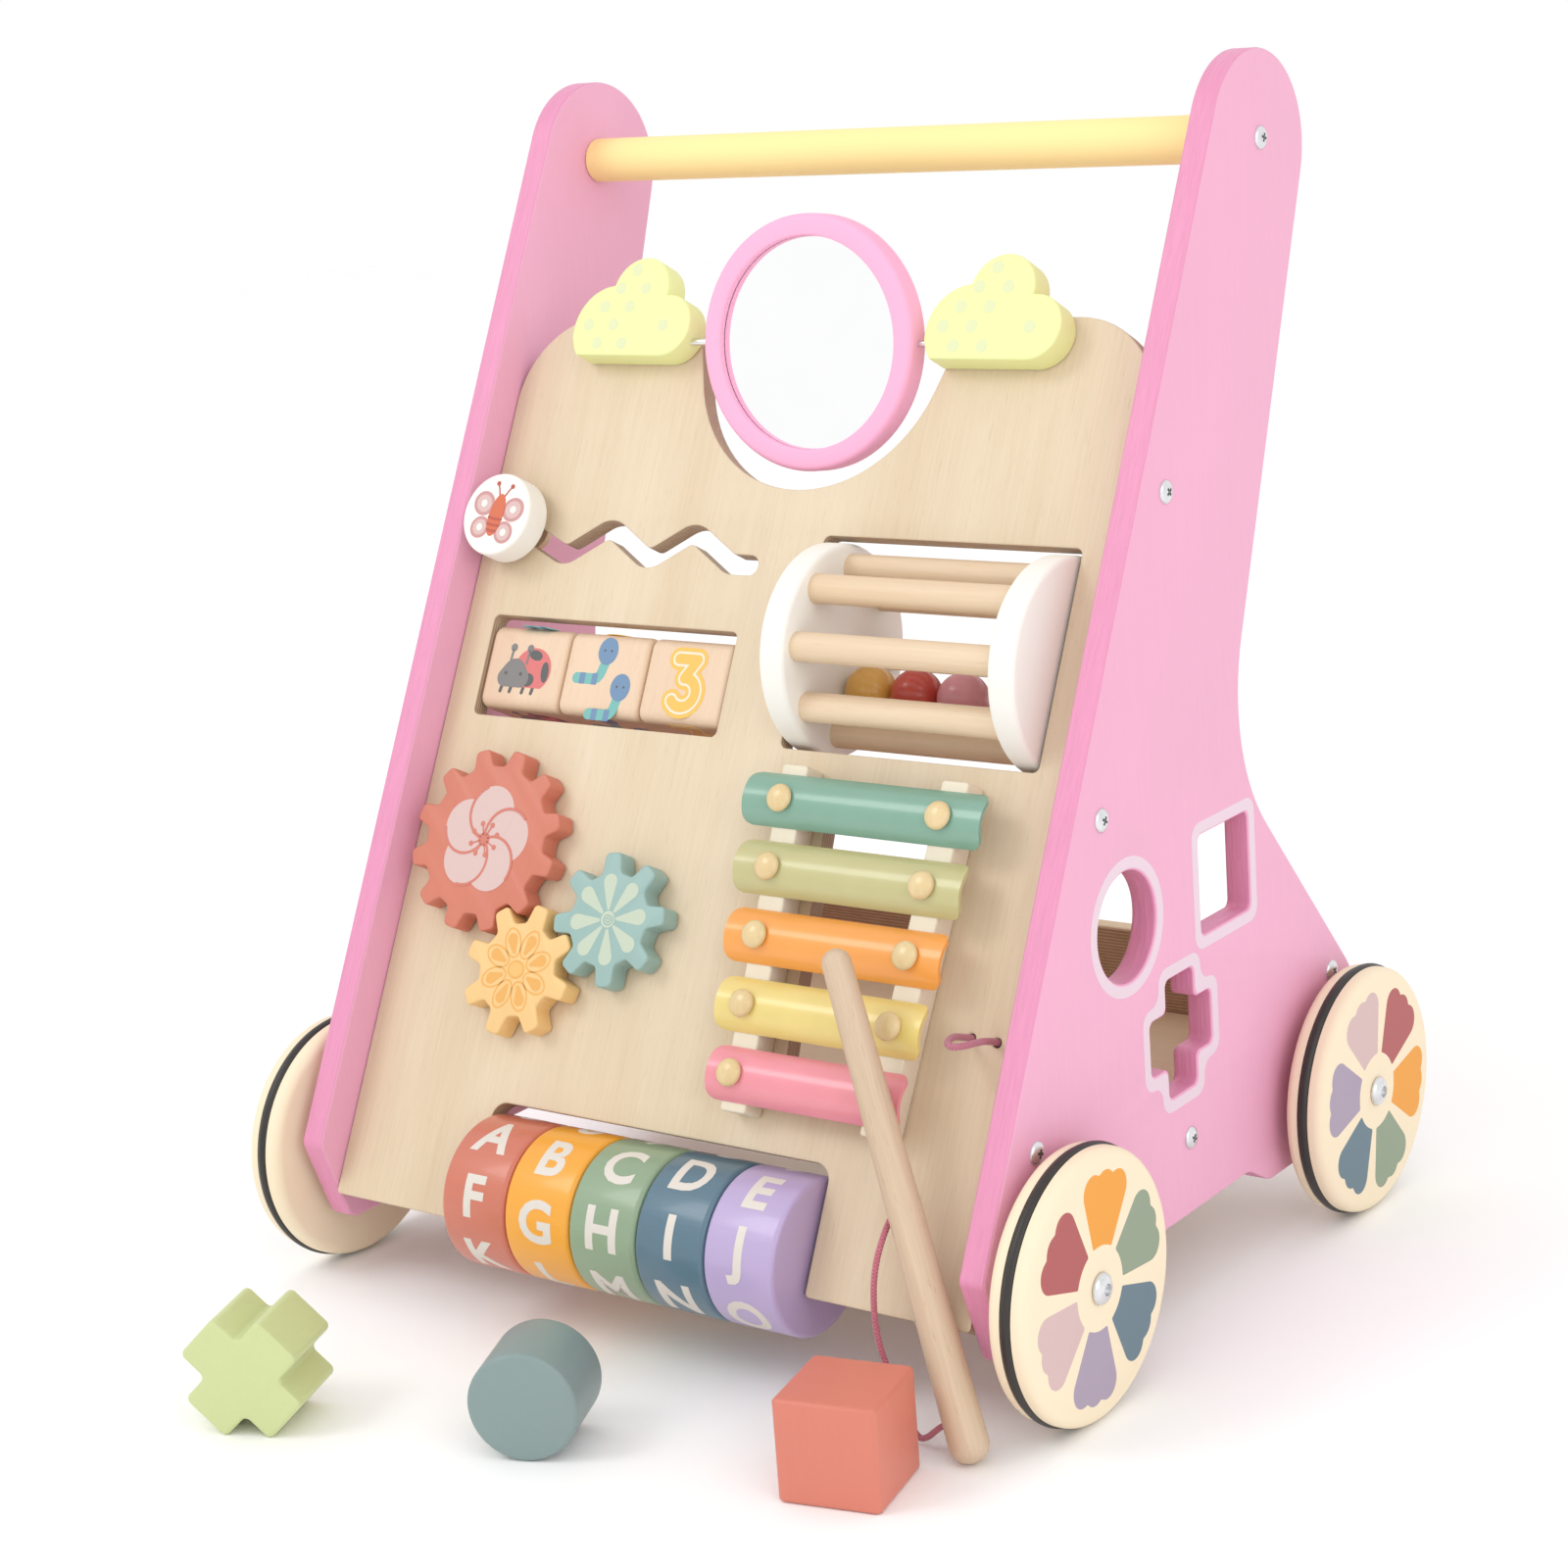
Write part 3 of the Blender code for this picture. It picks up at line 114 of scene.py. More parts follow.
def ellipse(centre: Point, half_width: float, half_height: float, turn: float = 0.0,
            count: int = 40) -> Outline:
    """An ellipse, turned by degrees about its centre."""
    c, s = cos(radians(turn)), sin(radians(turn))
    return [(centre[0] + x * c - y * s, centre[1] + x * s + y * c)
            for x, y in ((half_width * cos(2 * pi * k / count), half_height * sin(2 * pi * k / count))
                         for k in range(count))]


def belt(circles: Sequence[tuple[float, float, float]], step: float = 4.0) -> Outline:
    """A closed outline round a row of circles, joined by their common tangents.

    Args:
        circles: (x, y, radius) counter-clockwise; a negative radius is a hollow.
        step: degrees between points on an arc.
    """
    def leaving(a: tuple[float, float, float], b: tuple[float, float, float]) -> float:
        """Where the outline leaves circle a for circle b, as an angle about a's centre."""
        run, rise = b[0] - a[0], b[1] - a[1]
        share = max(-1.0, min(1.0, (a[2] - b[2]) / hypot(run, rise)))
        return atan2(rise, run) - acos(share)

    points: Outline = []
    for k, here in enumerate(circles):
        start, end = leaving(circles[k - 1], here), leaving(here, circles[(k + 1) % len(circles)])
        radius = here[2]
        turn = (end - start) % (2 * pi) if radius > 0 else -((start - end) % (2 * pi))
        parts = max(1, round(abs(degrees(turn)) / step))
        points += [(here[0] + radius * cos(start + turn * j / parts),
                    here[1] + radius * sin(start + turn * j / parts)) for j in range(parts + 1)]
    return points


def rounded(corners: Sequence[Point], radius: float, parts: int = 6, closed: bool = True) -> Outline:
    """A polygon with rounded corners, or an open line with rounded bends.

    Args:
        corners: the sharp corners in order.
        radius: of every corner, inner corners too.
        parts: straight pieces in a corner's arc.
        closed: False for a line that keeps its two ends.
    """
    points: Outline = []
    for k, corner in enumerate(corners):
        if not closed and k in (0, len(corners) - 1):
            points.append(corner)
            continue
        here = Vector(corner)
        before = (Vector(corners[k - 1]) - here).normalized()
        after = (Vector(corners[(k + 1) % len(corners)]) - here).normalized()
        half = acos(max(-1.0, min(1.0, before.dot(after)))) / 2
        centre = here + (before + after).normalized() * (radius / sin(half))
        start = here + before * (radius / tan(half)) - centre
        sweep = start.angle_signed(here + after * (radius / tan(half)) - centre)
        first = atan2(start.y, start.x)
        points += [(centre.x + radius * cos(first - sweep * j / parts),
                    centre.y + radius * sin(first - sweep * j / parts)) for j in range(parts + 1)]
    return points


def box_outline(left: float, low: float, right: float, high: float, radius: float) -> Outline:
    """A rectangle with rounded corners."""
    return rounded(((left, low), (right, low), (right, high), (left, high)), radius)


def stroke(path: Sequence[Point], width: float, cap: int = 10) -> Outline:
    """The outline of an open line of even width with round ends.

    Args:
        path: the middle line.
        width: of the line.
        cap: straight pieces in each end.
    """
    right: list[Vector] = []
    left: list[Vector] = []
    last = len(path) - 1
    for k, point in enumerate(path):
        here = Vector(point)
        ahead = Vector(path[min(k + 1, last)]) - Vector(path[min(k, last - 1)])
        behind = Vector(path[max(k, 1)]) - Vector(path[max(k - 1, 0)])
        ahead, behind = ahead.normalized(), behind.normalized()
        normal = Vector((-ahead.y - behind.y, ahead.x + behind.x)).normalized()
        reach = width / 2 / max(0.5, normal.dot(Vector((-ahead.y, ahead.x))))
        right.append(here - normal * reach)
        left.append(here + normal * reach)

    def end_cap(centre: Point, heading: Vector) -> list[Vector]:
        """The points between a line's two sides at one end."""
        aim = atan2(heading.y, heading.x)
        return [Vector((centre[0] + width / 2 * cos(aim + a), centre[1] + width / 2 * sin(aim + a)))
                for a in (-pi / 2 + pi * j / cap for j in range(1, cap))]

    points = right + end_cap(path[-1], Vector(path[-1]) - Vector(path[-2]))
    points += left[::-1] + end_cap(path[0], Vector(path[0]) - Vector(path[1]))
    return [(p.x, p.y) for p in points]


def placed(outline: Iterable[Point], x: float = 0.0, y: float = 0.0, turn: float = 0.0,
           size: float = 1.0) -> Outline:
    """An outline scaled, turned by degrees and moved."""
    c, s = cos(radians(turn)) * size, sin(radians(turn)) * size
    return [(x + a * c - b * s, y + a * s + b * c) for a, b in outline]


def inset(outline: Outline, depth: float) -> Outline:
    """An outline moved inwards by a depth, or outwards by a negative one."""
    result: Outline = []
    count = len(outline)
    for k, (x, y) in enumerate(outline):
        before = Vector((x, y)) - Vector(outline[k - 1])
        after = Vector(outline[(k + 1) % count]) - Vector((x, y))
        first = Vector((-before.y, before.x)).normalized()
        second = Vector((-after.y, after.x)).normalized()
        middle = (first + second).normalized()
        reach = depth / max(0.4, middle.dot(first))
        result.append((x + middle.x * reach, y + middle.y * reach))
    return result


def without_doubles(outline: Outline, least: float = 1e-4) -> Outline:
    """An outline without points that lie on the one before."""
    return [p for k, p in enumerate(outline) if hypot(p[0] - outline[k - 1][0],
                                                      p[1] - outline[k - 1][1]) > least]


def smooth_route(points: Sequence[tuple[float, float, float]], spacing: float) -> list[Vector]:
    """Points at an even spacing on a smooth curve through a route."""
    route = [Vector(point) for point in points]
    route = [route[0] * 2 - route[1], *route, route[-1] * 2 - route[-2]]
    fine: list[Vector] = []
    for a, b, c, d in zip(route, route[1:], route[2:], route[3:]):
        for k in range(12):
            t = k / 12
            fine.append(0.5 * (2 * b + (c - a) * t + (2 * a - 5 * b + 4 * c - d) * t * t
                               + (3 * b - a - 3 * c + d) * t * t * t))
    fine.append(route[-2])
    length = sum((q - p).length for p, q in zip(fine, fine[1:]))
    count = max(4, round(length / spacing))
    result, passed, k = [fine[0]], 0.0, 0
    for n in range(1, count):
        target = length * n / count
        while passed + (fine[k + 1] - fine[k]).length < target:
            passed += (fine[k + 1] - fine[k]).length
            k += 1
        step = fine[k + 1] - fine[k]
        result.append(fine[k] + step * ((target - passed) / step.length))
    result.append(fine[-1])
    return result


# ------------------------------------------------------------------------------ solids
@dataclass
class Solid:
    """A closed mesh being made: points, faces, which faces are flat, and colours for prints."""

    points: list[Vector] = field(default_factory=list)
    faces: list[list[int]] = field(default_factory=list)
    flat: set[int] = field(default_factory=set)
    colours: list[Colour] = field(default_factory=list)
    uvs: dict[int, list[Point]] = field(default_factory=dict)

    def add(self, other: Solid) -> Solid:
        """Joins another solid on and returns this one."""
        first, first_face = len(self.points), len(self.faces)
        self.points += [p.copy() for p in other.points]
        self.faces += [[first + k for k in face] for face in other.faces]
        self.flat |= {first_face + k for k in other.flat}
        self.colours += other.colours
        self.uvs.update({first_face + k: uv for k, uv in other.uvs.items()})
        return self

    def painted(self, colour: Colour) -> Solid:
        """Gives every face one colour and returns the solid."""
        self.colours = [colour] * len(self.faces)
        return self

    def mesh(self, name: str, matrix: Matrix, sharp: float) -> bpy.types.Mesh:
        """The solid as a Blender mesh in metres.

        Args:
            name: the mesh's name.
            matrix: from this solid's millimetres to the row frame's.
            sharp: the angle in degrees above which an edge is sharp.
        """
        mesh = bpy.data.meshes.new(name)
        mesh.from_pydata([tuple(matrix @ p * MM) for p in self.points], [], self.faces)
        mesh.polygons.foreach_set("use_smooth", [k not in self.flat for k in range(len(self.faces))])
        if self.colours:
            layer = mesh.color_attributes.new("paint", "FLOAT_COLOR", "CORNER")
            for polygon in mesh.polygons:
                for loop in polygon.loop_indices:
                    layer.data[loop].color = (*self.colours[polygon.index], 1.0)
        if self.uvs:
            layer = mesh.uv_layers.new(name="along")
            for polygon in mesh.polygons:
                for loop, uv in zip(polygon.loop_indices, self.uvs.get(polygon.index, ((0.0, 0.0),) * 4)):
                    layer.data[loop].uv = uv
        work = bmesh.new()
        work.from_mesh(mesh)
        bmesh.ops.recalc_face_normals(work, faces=work.faces)
        work.to_mesh(mesh)
        work.free()
        mesh.set_sharp_from_angle(angle=radians(sharp))
        return mesh


def plate(outline: Outline, low: float, high: float, holes: Sequence[Outline] = (), edge: float = 0.8,
          steps: int = 3) -> Solid:
    """A plate with rounded edges round its rim and its holes.

    Args:
        outline: the rim, counter-clockwise.
        low, high: the plate's two faces along z.
        holes: outlines cut right through, counter-clockwise.
        edge: the radius of the rounded edges, or 0 for square ones.
        steps: straight pieces in the rounding.
    """
    loops = [without_doubles(loop) for loop in (outline, *holes)]
    if edge:
        arc = [(edge * (1 - sin(a)),
                edge * (1 - cos(a))) for a in (pi / 2 * j / steps for j in range(steps + 1))]
        levels = [(depth, low + drop) for depth, drop in arc] + [(depth, high - drop) for depth,
                                                                 drop in arc[::-1]]
    else:
        levels = [(0.0, low), (0.0, high)]
    solid = Solid()
    rows: list[list[list[int]]] = []
    for depth, z in levels:
        row = []
        for k, loop in enumerate(loops):
            ring = inset(loop, depth if k == 0 else -depth) if depth else loop
            row.append(list(range(len(solid.points), len(solid.points) + len(ring))))
            solid.points += [Vector((x, y, z)) for x, y in ring]
        rows.append(row)
    for under, over in zip(rows, rows[1:]):
        for lower, upper in zip(under, over):
            for k in range(len(lower)):
                j = (k + 1) % len(lower)
                solid.faces.append([lower[k], lower[j], upper[j], upper[k]])
    for row in (rows[0], rows[-1]):
        corners = [index for ring in row for index in ring]
        flat = [[Vector((solid.points[index].x, solid.points[index].y,
                         0.0)) for index in ring] for ring in row]
        for triangle in tessellate_polygon(flat):
            solid.flat.add(len(solid.faces))
            solid.faces.append([corners[k] for k in triangle])
    return solid


def turned(profile: Sequence[Point], segments: int = 96, closed: bool = False) -> Solid:
    """A turned solid about z.

    Args:
        profile: (radius, height) points, from axis to axis, or round a ring's section.
        segments: round the axis.
        closed: True for a ring's section.
    """
    solid = Solid()
    rows: list[list[int]] = []
    for radius, height in profile:
        count = 1 if radius == 0 else segments
        rows.append([len(solid.points) + (k if count > 1 else 0) for k in range(segments)])
        solid.points += [Vector((radius * cos(2 * pi * k / segments), radius * sin(2 * pi * k / segments),
                                 height))
                         for k in range(count)]
    pairs = list(zip(rows, rows[1:])) + ([(rows[-1], rows[0])] if closed else [])
    for lower, upper in pairs:
        for k in range(segments):
            j = (k + 1) % segments
            face = list(dict.fromkeys((lower[k], lower[j], upper[j], upper[k])))
            solid.faces.append(face)
    return solid


def rim(radius: float, low: float, high: float, edge: float, parts: int = 5) -> Outline:
    """The rounded outer part of a disc's profile, from its lower face to its upper one."""
    angles = [pi / 2 * j / parts for j in range(parts + 1)]
    points = [(radius - edge + edge * sin(a), low + edge - edge * cos(a)) for a in angles]
    return points + [(radius - edge + edge * cos(a), high - edge + edge * sin(a)) for a in angles]


def disc(radius: float, low: float, high: float, edge: float = 0.6, segments: int = 64,
         bore: float = 0.0) -> Solid:
    """A disc or rod with rounded rims, and a bore where one is given."""
    if bore:
        return turned([(bore, low), *rim(radius, low, high, edge), (bore, high)], segments, closed=True)
    return turned([(0, low), *rim(radius, low, high, edge), (0, high)], segments)


def ball(radius: float, segments: int = 48, rows: int = 28) -> Solid:
    """A round ball."""
    middle = [(radius * sin(pi * k / rows), -radius * cos(pi * k / rows)) for k in range(1, rows)]
    return turned([(0, -radius), *middle, (0, radius)], segments)


def tube(route: Sequence[Vector], radius: float, segments: int = 14) -> Solid:
    """A round cord along a route with domed ends, and its length and girth as UVs in millimetres."""
    solid = Solid()
    normal = (route[1] - route[0]).orthogonal().normalized()
    rows: list[list[int]] = []
    stations: list[tuple[Vector, Vector, float, float]] = []
    passed = 0.0
    for k, point in enumerate(route):
        ahead = (route[min(k + 1, len(route) - 1)] - route[max(k - 1, 0)]).normalized()
        passed += (point - route[k - 1]).length if k else 0.0
        stations.append((point, ahead, radius, passed))
    head, tail = stations[0], stations[-1]
    dome = [(sin(a), cos(a)) for a in (pi / 8, pi / 4, 3 * pi / 8)]
    stations = ([(head[0] - head[1] * radius * 0.5 * c, head[1], radius * s, 0.0) for s,
                 c in dome] + stations
                + [(tail[0] + tail[1] * radius * 0.5 * c, tail[1], radius * s, passed) for s,
                   c in dome[::-1]])
    for point, ahead, size, _ in stations:
        normal = (normal - ahead * normal.dot(ahead)).normalized()
        side = ahead.cross(normal)
        rows.append(list(range(len(solid.points), len(solid.points) + segments)))
        solid.points += [point + (normal * cos(a) + side * sin(a)) * size
                         for a in (2 * pi * j / segments for j in range(segments))]
    girth = 2 * pi * radius
    for lower, upper, before, after in zip(rows, rows[1:], stations, stations[1:]):
        for k in range(segments):
            j = (k + 1) % segments
            u0, u1 = girth * k / segments, girth * (k + 1) / segments
            solid.uvs[len(solid.faces)] = [(u0, before[3]), (u1, before[3]), (u1, after[3]), (u0, after[3])]
            solid.faces.append([lower[k], lower[j], upper[j], upper[k]])
    solid.faces += [rows[0][::-1], rows[-1]]
    return solid


# ------------------------------------------------------------------------------ shading
class Sock:
    """A shader value. Used in an expression, it adds its Math nodes."""

    def __init__(self, shader: Shader, socket: bpy.types.NodeSocket) -> None:
        """Wraps one output socket of a shader."""
        self.shader, self.socket = shader, socket

    def _math(self, operation: str, other: Any) -> Sock:
        """A Math node on this value and another."""
        return self.shader.node("ShaderNodeMath", {"operation": operation}, {0: self, 1: other})

    def __add__(self, other: Any) -> Sock:
        """This plus other."""
        return self._math("ADD", other)

    __radd__ = __add__

    def __sub__(self, other: Any) -> Sock:
        """This minus other."""
        return self._math("SUBTRACT", other)

    def __mul__(self, other: Any) -> Sock:
        """This times other."""
        return self._math("MULTIPLY", other)

    __rmul__ = __mul__

    def __abs__(self) -> Sock:
        """This without its sign."""
        return self.shader.node("ShaderNodeMath", {"operation": "ABSOLUTE"}, {0: self})


class Shader:
    """A material being made, with a Principled BSDF at its end."""

    def __init__(self, name: str, roughness: float, metallic: float = 0.0, coat: float = 0.0,
                 sheen: float = 0.0) -> None:
        """Starts a material with its constant settings."""
        self.material = bpy.data.materials.new(name)
        self.material.use_nodes = True
        self.tree = self.material.node_tree
        self.end = self.tree.nodes["Principled BSDF"]
        self.set("Roughness", roughness)
        self.set("Metallic", metallic)
        self.set("Coat Weight", coat)
        self.set("Sheen Weight", sheen)
        if coat:
            self.set("Coat Roughness", 0.12)

    def node(self, kind: str, settings: dict[str, Any] | None = None, values: dict[Any, Any] | None = None,
             output: int | str = 0) -> Sock:
        """Adds a node.

        Args:
            kind: the node's type.
            settings: its properties, set first.
            values: each input's value or link, by name or index.
            output: which output to give back.
        """
        node = self.tree.nodes.new(kind)
        for key, value in (settings or {}).items():
            setattr(node, key, value)
        for key, value in (values or {}).items():
            if isinstance(value, Sock):
                self.tree.links.new(value.socket, node.inputs[key])
            else:
                node.inputs[key].default_value = value
        return Sock(self, node.outputs[output])

    def set(self, name: str, value: Any) -> None:
        """Sets or links one of the Principled BSDF's sockets."""
        if isinstance(value, Sock):
            self.tree.links.new(value.socket, self.end.inputs[name])
        else:
            self.end.inputs[name].default_value = value

    def place(self, axis: Vector, stretch: float = 1.0) -> Sock:
        """Object coordinates with an axis turned to z and shortened along it."""
        turn = axis.rotation_difference(Vector((0, 0, 1))).to_euler()
        spot = self.node("ShaderNodeTexCoord", output="Object")
        turned_spot = self.node("ShaderNodeMapping", {"vector_type": "POINT"},
                                {"Vector": spot, "Rotation": tuple(turn)})
        return self.node("ShaderNodeMapping", {"vector_type": "POINT"},
                         {"Vector": turned_spot, "Scale": (1.0, 1.0, stretch)})

    def noise(self, spot: Sock, scale: float, detail: float = 2.0, rough: float = 0.5) -> Sock:
        """A noise value, 0 to 1."""
        return self.node("ShaderNodeTexNoise", {"normalize": True},
                         {"Vector": spot, "Scale": scale, "Detail": detail, "Roughness": rough})

    def mix(self, share: Any, first: Any, second: Any) -> Sock:
        """A colour between two."""
        def full(colour: Any) -> Any:
            """A colour with its alpha, or a link as it is."""
            return colour if isinstance(colour, Sock) else (*colour, 1.0)
        return self.node("ShaderNodeMix", {"data_type": "RGBA"},
                         {0: share, 6: full(first), 7: full(second)}, output=2)

    def ramp(self, value: Sock, low: float, high: float) -> Sock:
        """A value spread from 0 at low to 1 at high."""
        return self.node("ShaderNodeMapRange", {"clamp": True}, {0: value, 1: low, 2: high, 3: 0.0, 4: 1.0})

    def bump(self, height: Sock, depth: float) -> None:
        """Raises the surface by a height, depth in metres."""
        self.set("Normal", self.node("ShaderNodeBump", {}, {"Strength": 1.0, "Distance": depth,
                                                            "Height": height}))


class Grain(Enum):
    """Which way a wooden piece's fibres run."""

    ACROSS = (1.0, 0.0, 0.0)
    FORWARD = (0.0, 1.0, 0.0)
    UP = (0.0, 0.0, 1.0)
    SLOPE = (0.0, 0.46108, 0.88736)

    @property
    def axis(self) -> Vector:
        """The direction of the fibres."""
        return Vector(self.value)


@dataclass(frozen=True)
class Paint:
    """Satin paint brushed on wood: faint fibres, small pits and slightly uneven gloss."""

    name: str
    colour: Colour
    roughness: float = 0.42
    coat: float = 0.0
    grain: Grain = Grain.UP
    fibre: float = 0.00012
    edge_axis: Vector | None = None
    edge_colour: Colour | None = None

    def make(self) -> bpy.types.Material:
        """Builds the material."""
        shader = Shader(self.name, self.roughness, coat=self.coat)
        streaks = shader.noise(shader.place(self.grain.axis, 0.05), 620.0, 3.0)
        cloudy = shader.noise(shader.place(self.grain.axis), 22.0, 3.0)
        pits = shader.noise(shader.place(self.grain.axis), 1500.0, 1.0)
        tone = cloudy * 0.6 + streaks * 0.4
        dark = tuple(c * 0.93 for c in self.colour)
        light = tuple(min(1.0, c * 1.05) for c in self.colour)
        colour = shader.mix(tone, dark, light)
        height = streaks * 0.7 + pits * 0.3
        if self.edge_axis is not None and self.edge_colour is not None:
            normal = shader.node("ShaderNodeTexCoord", output="Normal")
            facing = shader.node("ShaderNodeVectorMath", {"operation": "DOT_PRODUCT"},
                                 {0: normal, 1: tuple(self.edge_axis)}, output="Value")
            edge = shader.ramp(abs(facing), 0.75, 0.45)
            layers = shader.noise(shader.place(self.edge_axis, 14.0), 70.0, 3.0)
            ply = shader.mix(layers, tuple(c * 0.86 for c in self.edge_colour),
                             tuple(min(1.0, c * 1.08) for c in self.edge_colour))
            colour = shader.mix(edge, colour, ply)
            height = height + edge * layers * 2.5
        shader.set("Base Color", colour)
        shader.set("Roughness", self.roughness + (cloudy - 0.5) * 0.16)
        shader.bump(height, self.fibre)
        return shader.material


@dataclass(frozen=True)
class Wood:
    """Bare lacquered wood with broad soft figure, fine fibres and short dark pores."""

    name: str
    light: Colour
    dark: Colour
    grain: Grain | Vector = Grain.UP
    roughness: float = 0.5
    coat: float = 0.0
    figure: float = 34.0
    pores: float = 0.25
    edge_axis: Vector | None = None
    # The browns of cut ply edges are real laser burn, darkened further by painted shade of the cut walls.
    edge_dark: Colour = rgb(168, 136, 108)
    edge_light: Colour = rgb(216, 190, 160)
    layers: float = 4400.0

    def make(self) -> bpy.types.Material:
        """Builds the material."""
        axis = self.grain.axis if isinstance(self.grain, Grain) else self.grain
        shader = Shader(self.name, self.roughness, coat=self.coat)
        broad = shader.noise(shader.place(axis, 0.10), self.figure, 3.0, 0.55)
        fibres = shader.noise(shader.place(axis, 0.025), 900.0, 4.0, 0.6)
        specks = shader.ramp(shader.noise(shader.place(axis, 0.09), 1300.0, 2.0), 0.66, 0.74)
        tone = shader.ramp(broad * 0.62 + fibres * 0.38, 0.30, 0.72)
        colour = shader.mix(tone, self.dark, self.light)
        colour = shader.mix(specks * self.pores, colour, tuple(c * 0.72 for c in self.dark))
        height = fibres - specks * 0.5
        if self.edge_axis is not None:
            normal = shader.node("ShaderNodeTexCoord", output="Normal")
            facing = shader.node("ShaderNodeVectorMath", {"operation": "DOT_PRODUCT"},
                                 {0: normal, 1: tuple(self.edge_axis)}, output="Value")
            edge = shader.ramp(abs(facing), 0.72, 0.45)
            depth = shader.node("ShaderNodeSeparateXYZ", {}, {0: shader.place(self.edge_axis)}, output=2)
            wave = shader.node("ShaderNodeMath", {"operation": "SINE"},
                               {0: depth * self.layers + fibres * 1.4})
            plies = shader.ramp(wave, -0.5, 0.6)
            # the brown mottling on ply edges mixes real laser burn with painted shade
            scorch_and_shade = shader.noise(shader.place(axis), 120.0, 3.0)
            ply = shader.mix(plies * 0.6 + scorch_and_shade * 0.4, self.edge_dark, self.edge_light)
            colour = shader.mix(edge, colour, ply)
            height = height + edge * plies * 1.5
        shader.set("Base Color", colour)
        shader.set("Roughness", self.roughness + (broad - 0.5) * 0.2)
        shader.bump(height, 0.00012)
        return shader.material


@dataclass(frozen=True)
class Enamel:
    """Thick glossy enamel on a bent metal bar, with a slow ripple in its surface."""

    name: str
    colour: Colour

    def make(self) -> bpy.types.Material:
        """Builds the material."""
        shader = Shader(self.name, 0.34, coat=0.55)
        ripple = shader.noise(shader.place(Grain.ACROSS.axis), 90.0, 2.0)
        dust = shader.noise(shader.place(Grain.ACROSS.axis), 2200.0, 1.0)
        shader.set("Base Color", shader.mix(ripple, tuple(c * 0.95 for c in self.colour),
                                            tuple(min(1.0, c * 1.04) for c in self.colour)))
        shader.set("Roughness", 0.28 + dust * 0.12)
        shader.bump(ripple + dust * 0.08, 0.0002)
        return shader.material


@dataclass(frozen=True)
class Print:
    """Screen-printed ink in several colours, from the piece's own paint attribute."""

    name: str = "printed_ink"

    def make(self) -> bpy.types.Material:
        """Builds the material."""
        shader = Shader(self.name, 0.46)
        ink = shader.node("ShaderNodeAttribute", {"attribute_name": "paint"}, output="Color")
        grain = shader.noise(shader.place(Grain.UP.axis), 1700.0, 2.0)
        shade = shader.mix(0.08, ink, (0.0, 0.0, 0.0))
        shader.set("Base Color", shader.mix(grain, shade, ink))
        shader.set("Roughness", 0.40 + grain * 0.12)
        shader.bump(grain, 0.00004)
        return shader.material


@dataclass(frozen=True)
class Rubber:
    """Smooth moulded rubber with a dull bloom."""

    name: str = "ring_rubber"

    def make(self) -> bpy.types.Material:
        """Builds the material."""
        shader = Shader(self.name, 0.4)
        bloom = shader.noise(shader.place(Grain.ACROSS.axis), 160.0, 4.0)
        dust = shader.noise(shader.place(Grain.ACROSS.axis), 1900.0, 2.0)
        shader.set("Base Color", shader.mix(bloom, rgb(38, 34, 31), rgb(56, 51, 47)))
        shader.set("Roughness", 0.32 + bloom * 0.2)
        shader.bump(dust, 0.00005)
        return shader.material


@dataclass(frozen=True)
class Steel:
    """Zinc-plated steel with fine turning marks."""

    name: str = "plated_steel"

    def make(self) -> bpy.types.Material:
        """Builds the material."""
        shader = Shader(self.name, 0.25, metallic=1.0)
        marks = shader.noise(shader.place(Grain.ACROSS.axis, 30.0), 240.0, 3.0)
        patches = shader.noise(shader.place(Grain.ACROSS.axis), 240.0, 2.0)
        shader.set("Base Color", shader.mix(patches, (0.62, 0.63, 0.65), (0.86, 0.865, 0.875)))
        shader.set("Roughness", 0.2 + marks * 0.18)
        shader.bump(marks, 0.00003)
        return shader.material


@dataclass(frozen=True)
class Silver:
    """A silvered acrylic mirror, very slightly wavy."""

    name: str = "silvered_mirror"

    def make(self) -> bpy.types.Material:
        """Builds the material."""
        shader = Shader(self.name, 0.03, metallic=1.0)
        wave = shader.noise(shader.place(Grain.ACROSS.axis), 18.0, 1.0)
        haze = shader.noise(shader.place(Grain.ACROSS.axis), 60.0, 3.0)
        shader.set("Base Color", shader.mix(haze, (0.965, 0.97, 0.975), (0.99, 0.99, 0.995)))
        shader.set("Roughness", 0.02 + haze * 0.03)
        shader.bump(wave, 0.00006)
        return shader.material


@dataclass(frozen=True)
class Braid:
    """A braided cotton cord, its strands crossing on the piece's own length and girth."""

    name: str
    colour: Colour
    strands: float = 3.0
    pitch: float = 4.2

    def make(self) -> bpy.types.Material:
        """Builds the material."""
        shader = Shader(self.name, 0.8, sheen=0.3)
        spot = shader.node("ShaderNodeUVMap", {"uv_map": "along"})
        girth = shader.node("ShaderNodeSeparateXYZ", {}, {0: spot}, output=0)
        length = shader.node("ShaderNodeSeparateXYZ", {}, {0: spot}, output=1)
        turns = girth * (2 * pi * self.strands / (2 * pi * 1.2))
        run = length * (2 * pi * self.strands / self.pitch)
        one = shader.node("ShaderNodeMath", {"operation": "SINE"}, {0: turns + run})
        two = shader.node("ShaderNodeMath", {"operation": "SINE"}, {0: turns - run})
        weave = shader.node("ShaderNodeMath", {"operation": "MAXIMUM"}, {0: one, 1: two})
        strand = shader.ramp(weave, -0.2, 1.0)
        fuzz = shader.noise(shader.place(Grain.UP.axis), 3000.0, 2.0)
        # Where the strands part, the yarn is darkened to 0.62 of its colour: painted shade in the grooves of the
        # braid.
        shader.set("Base Color",
                   shader.mix(strand * 0.75 + fuzz * 0.25, tuple(c * 0.62 for c in self.colour),
                                            self.colour))
        shader.set("Roughness", 0.72 + fuzz * 0.2)
        shader.bump(strand + fuzz * 0.4, 0.0003)
        return shader.material


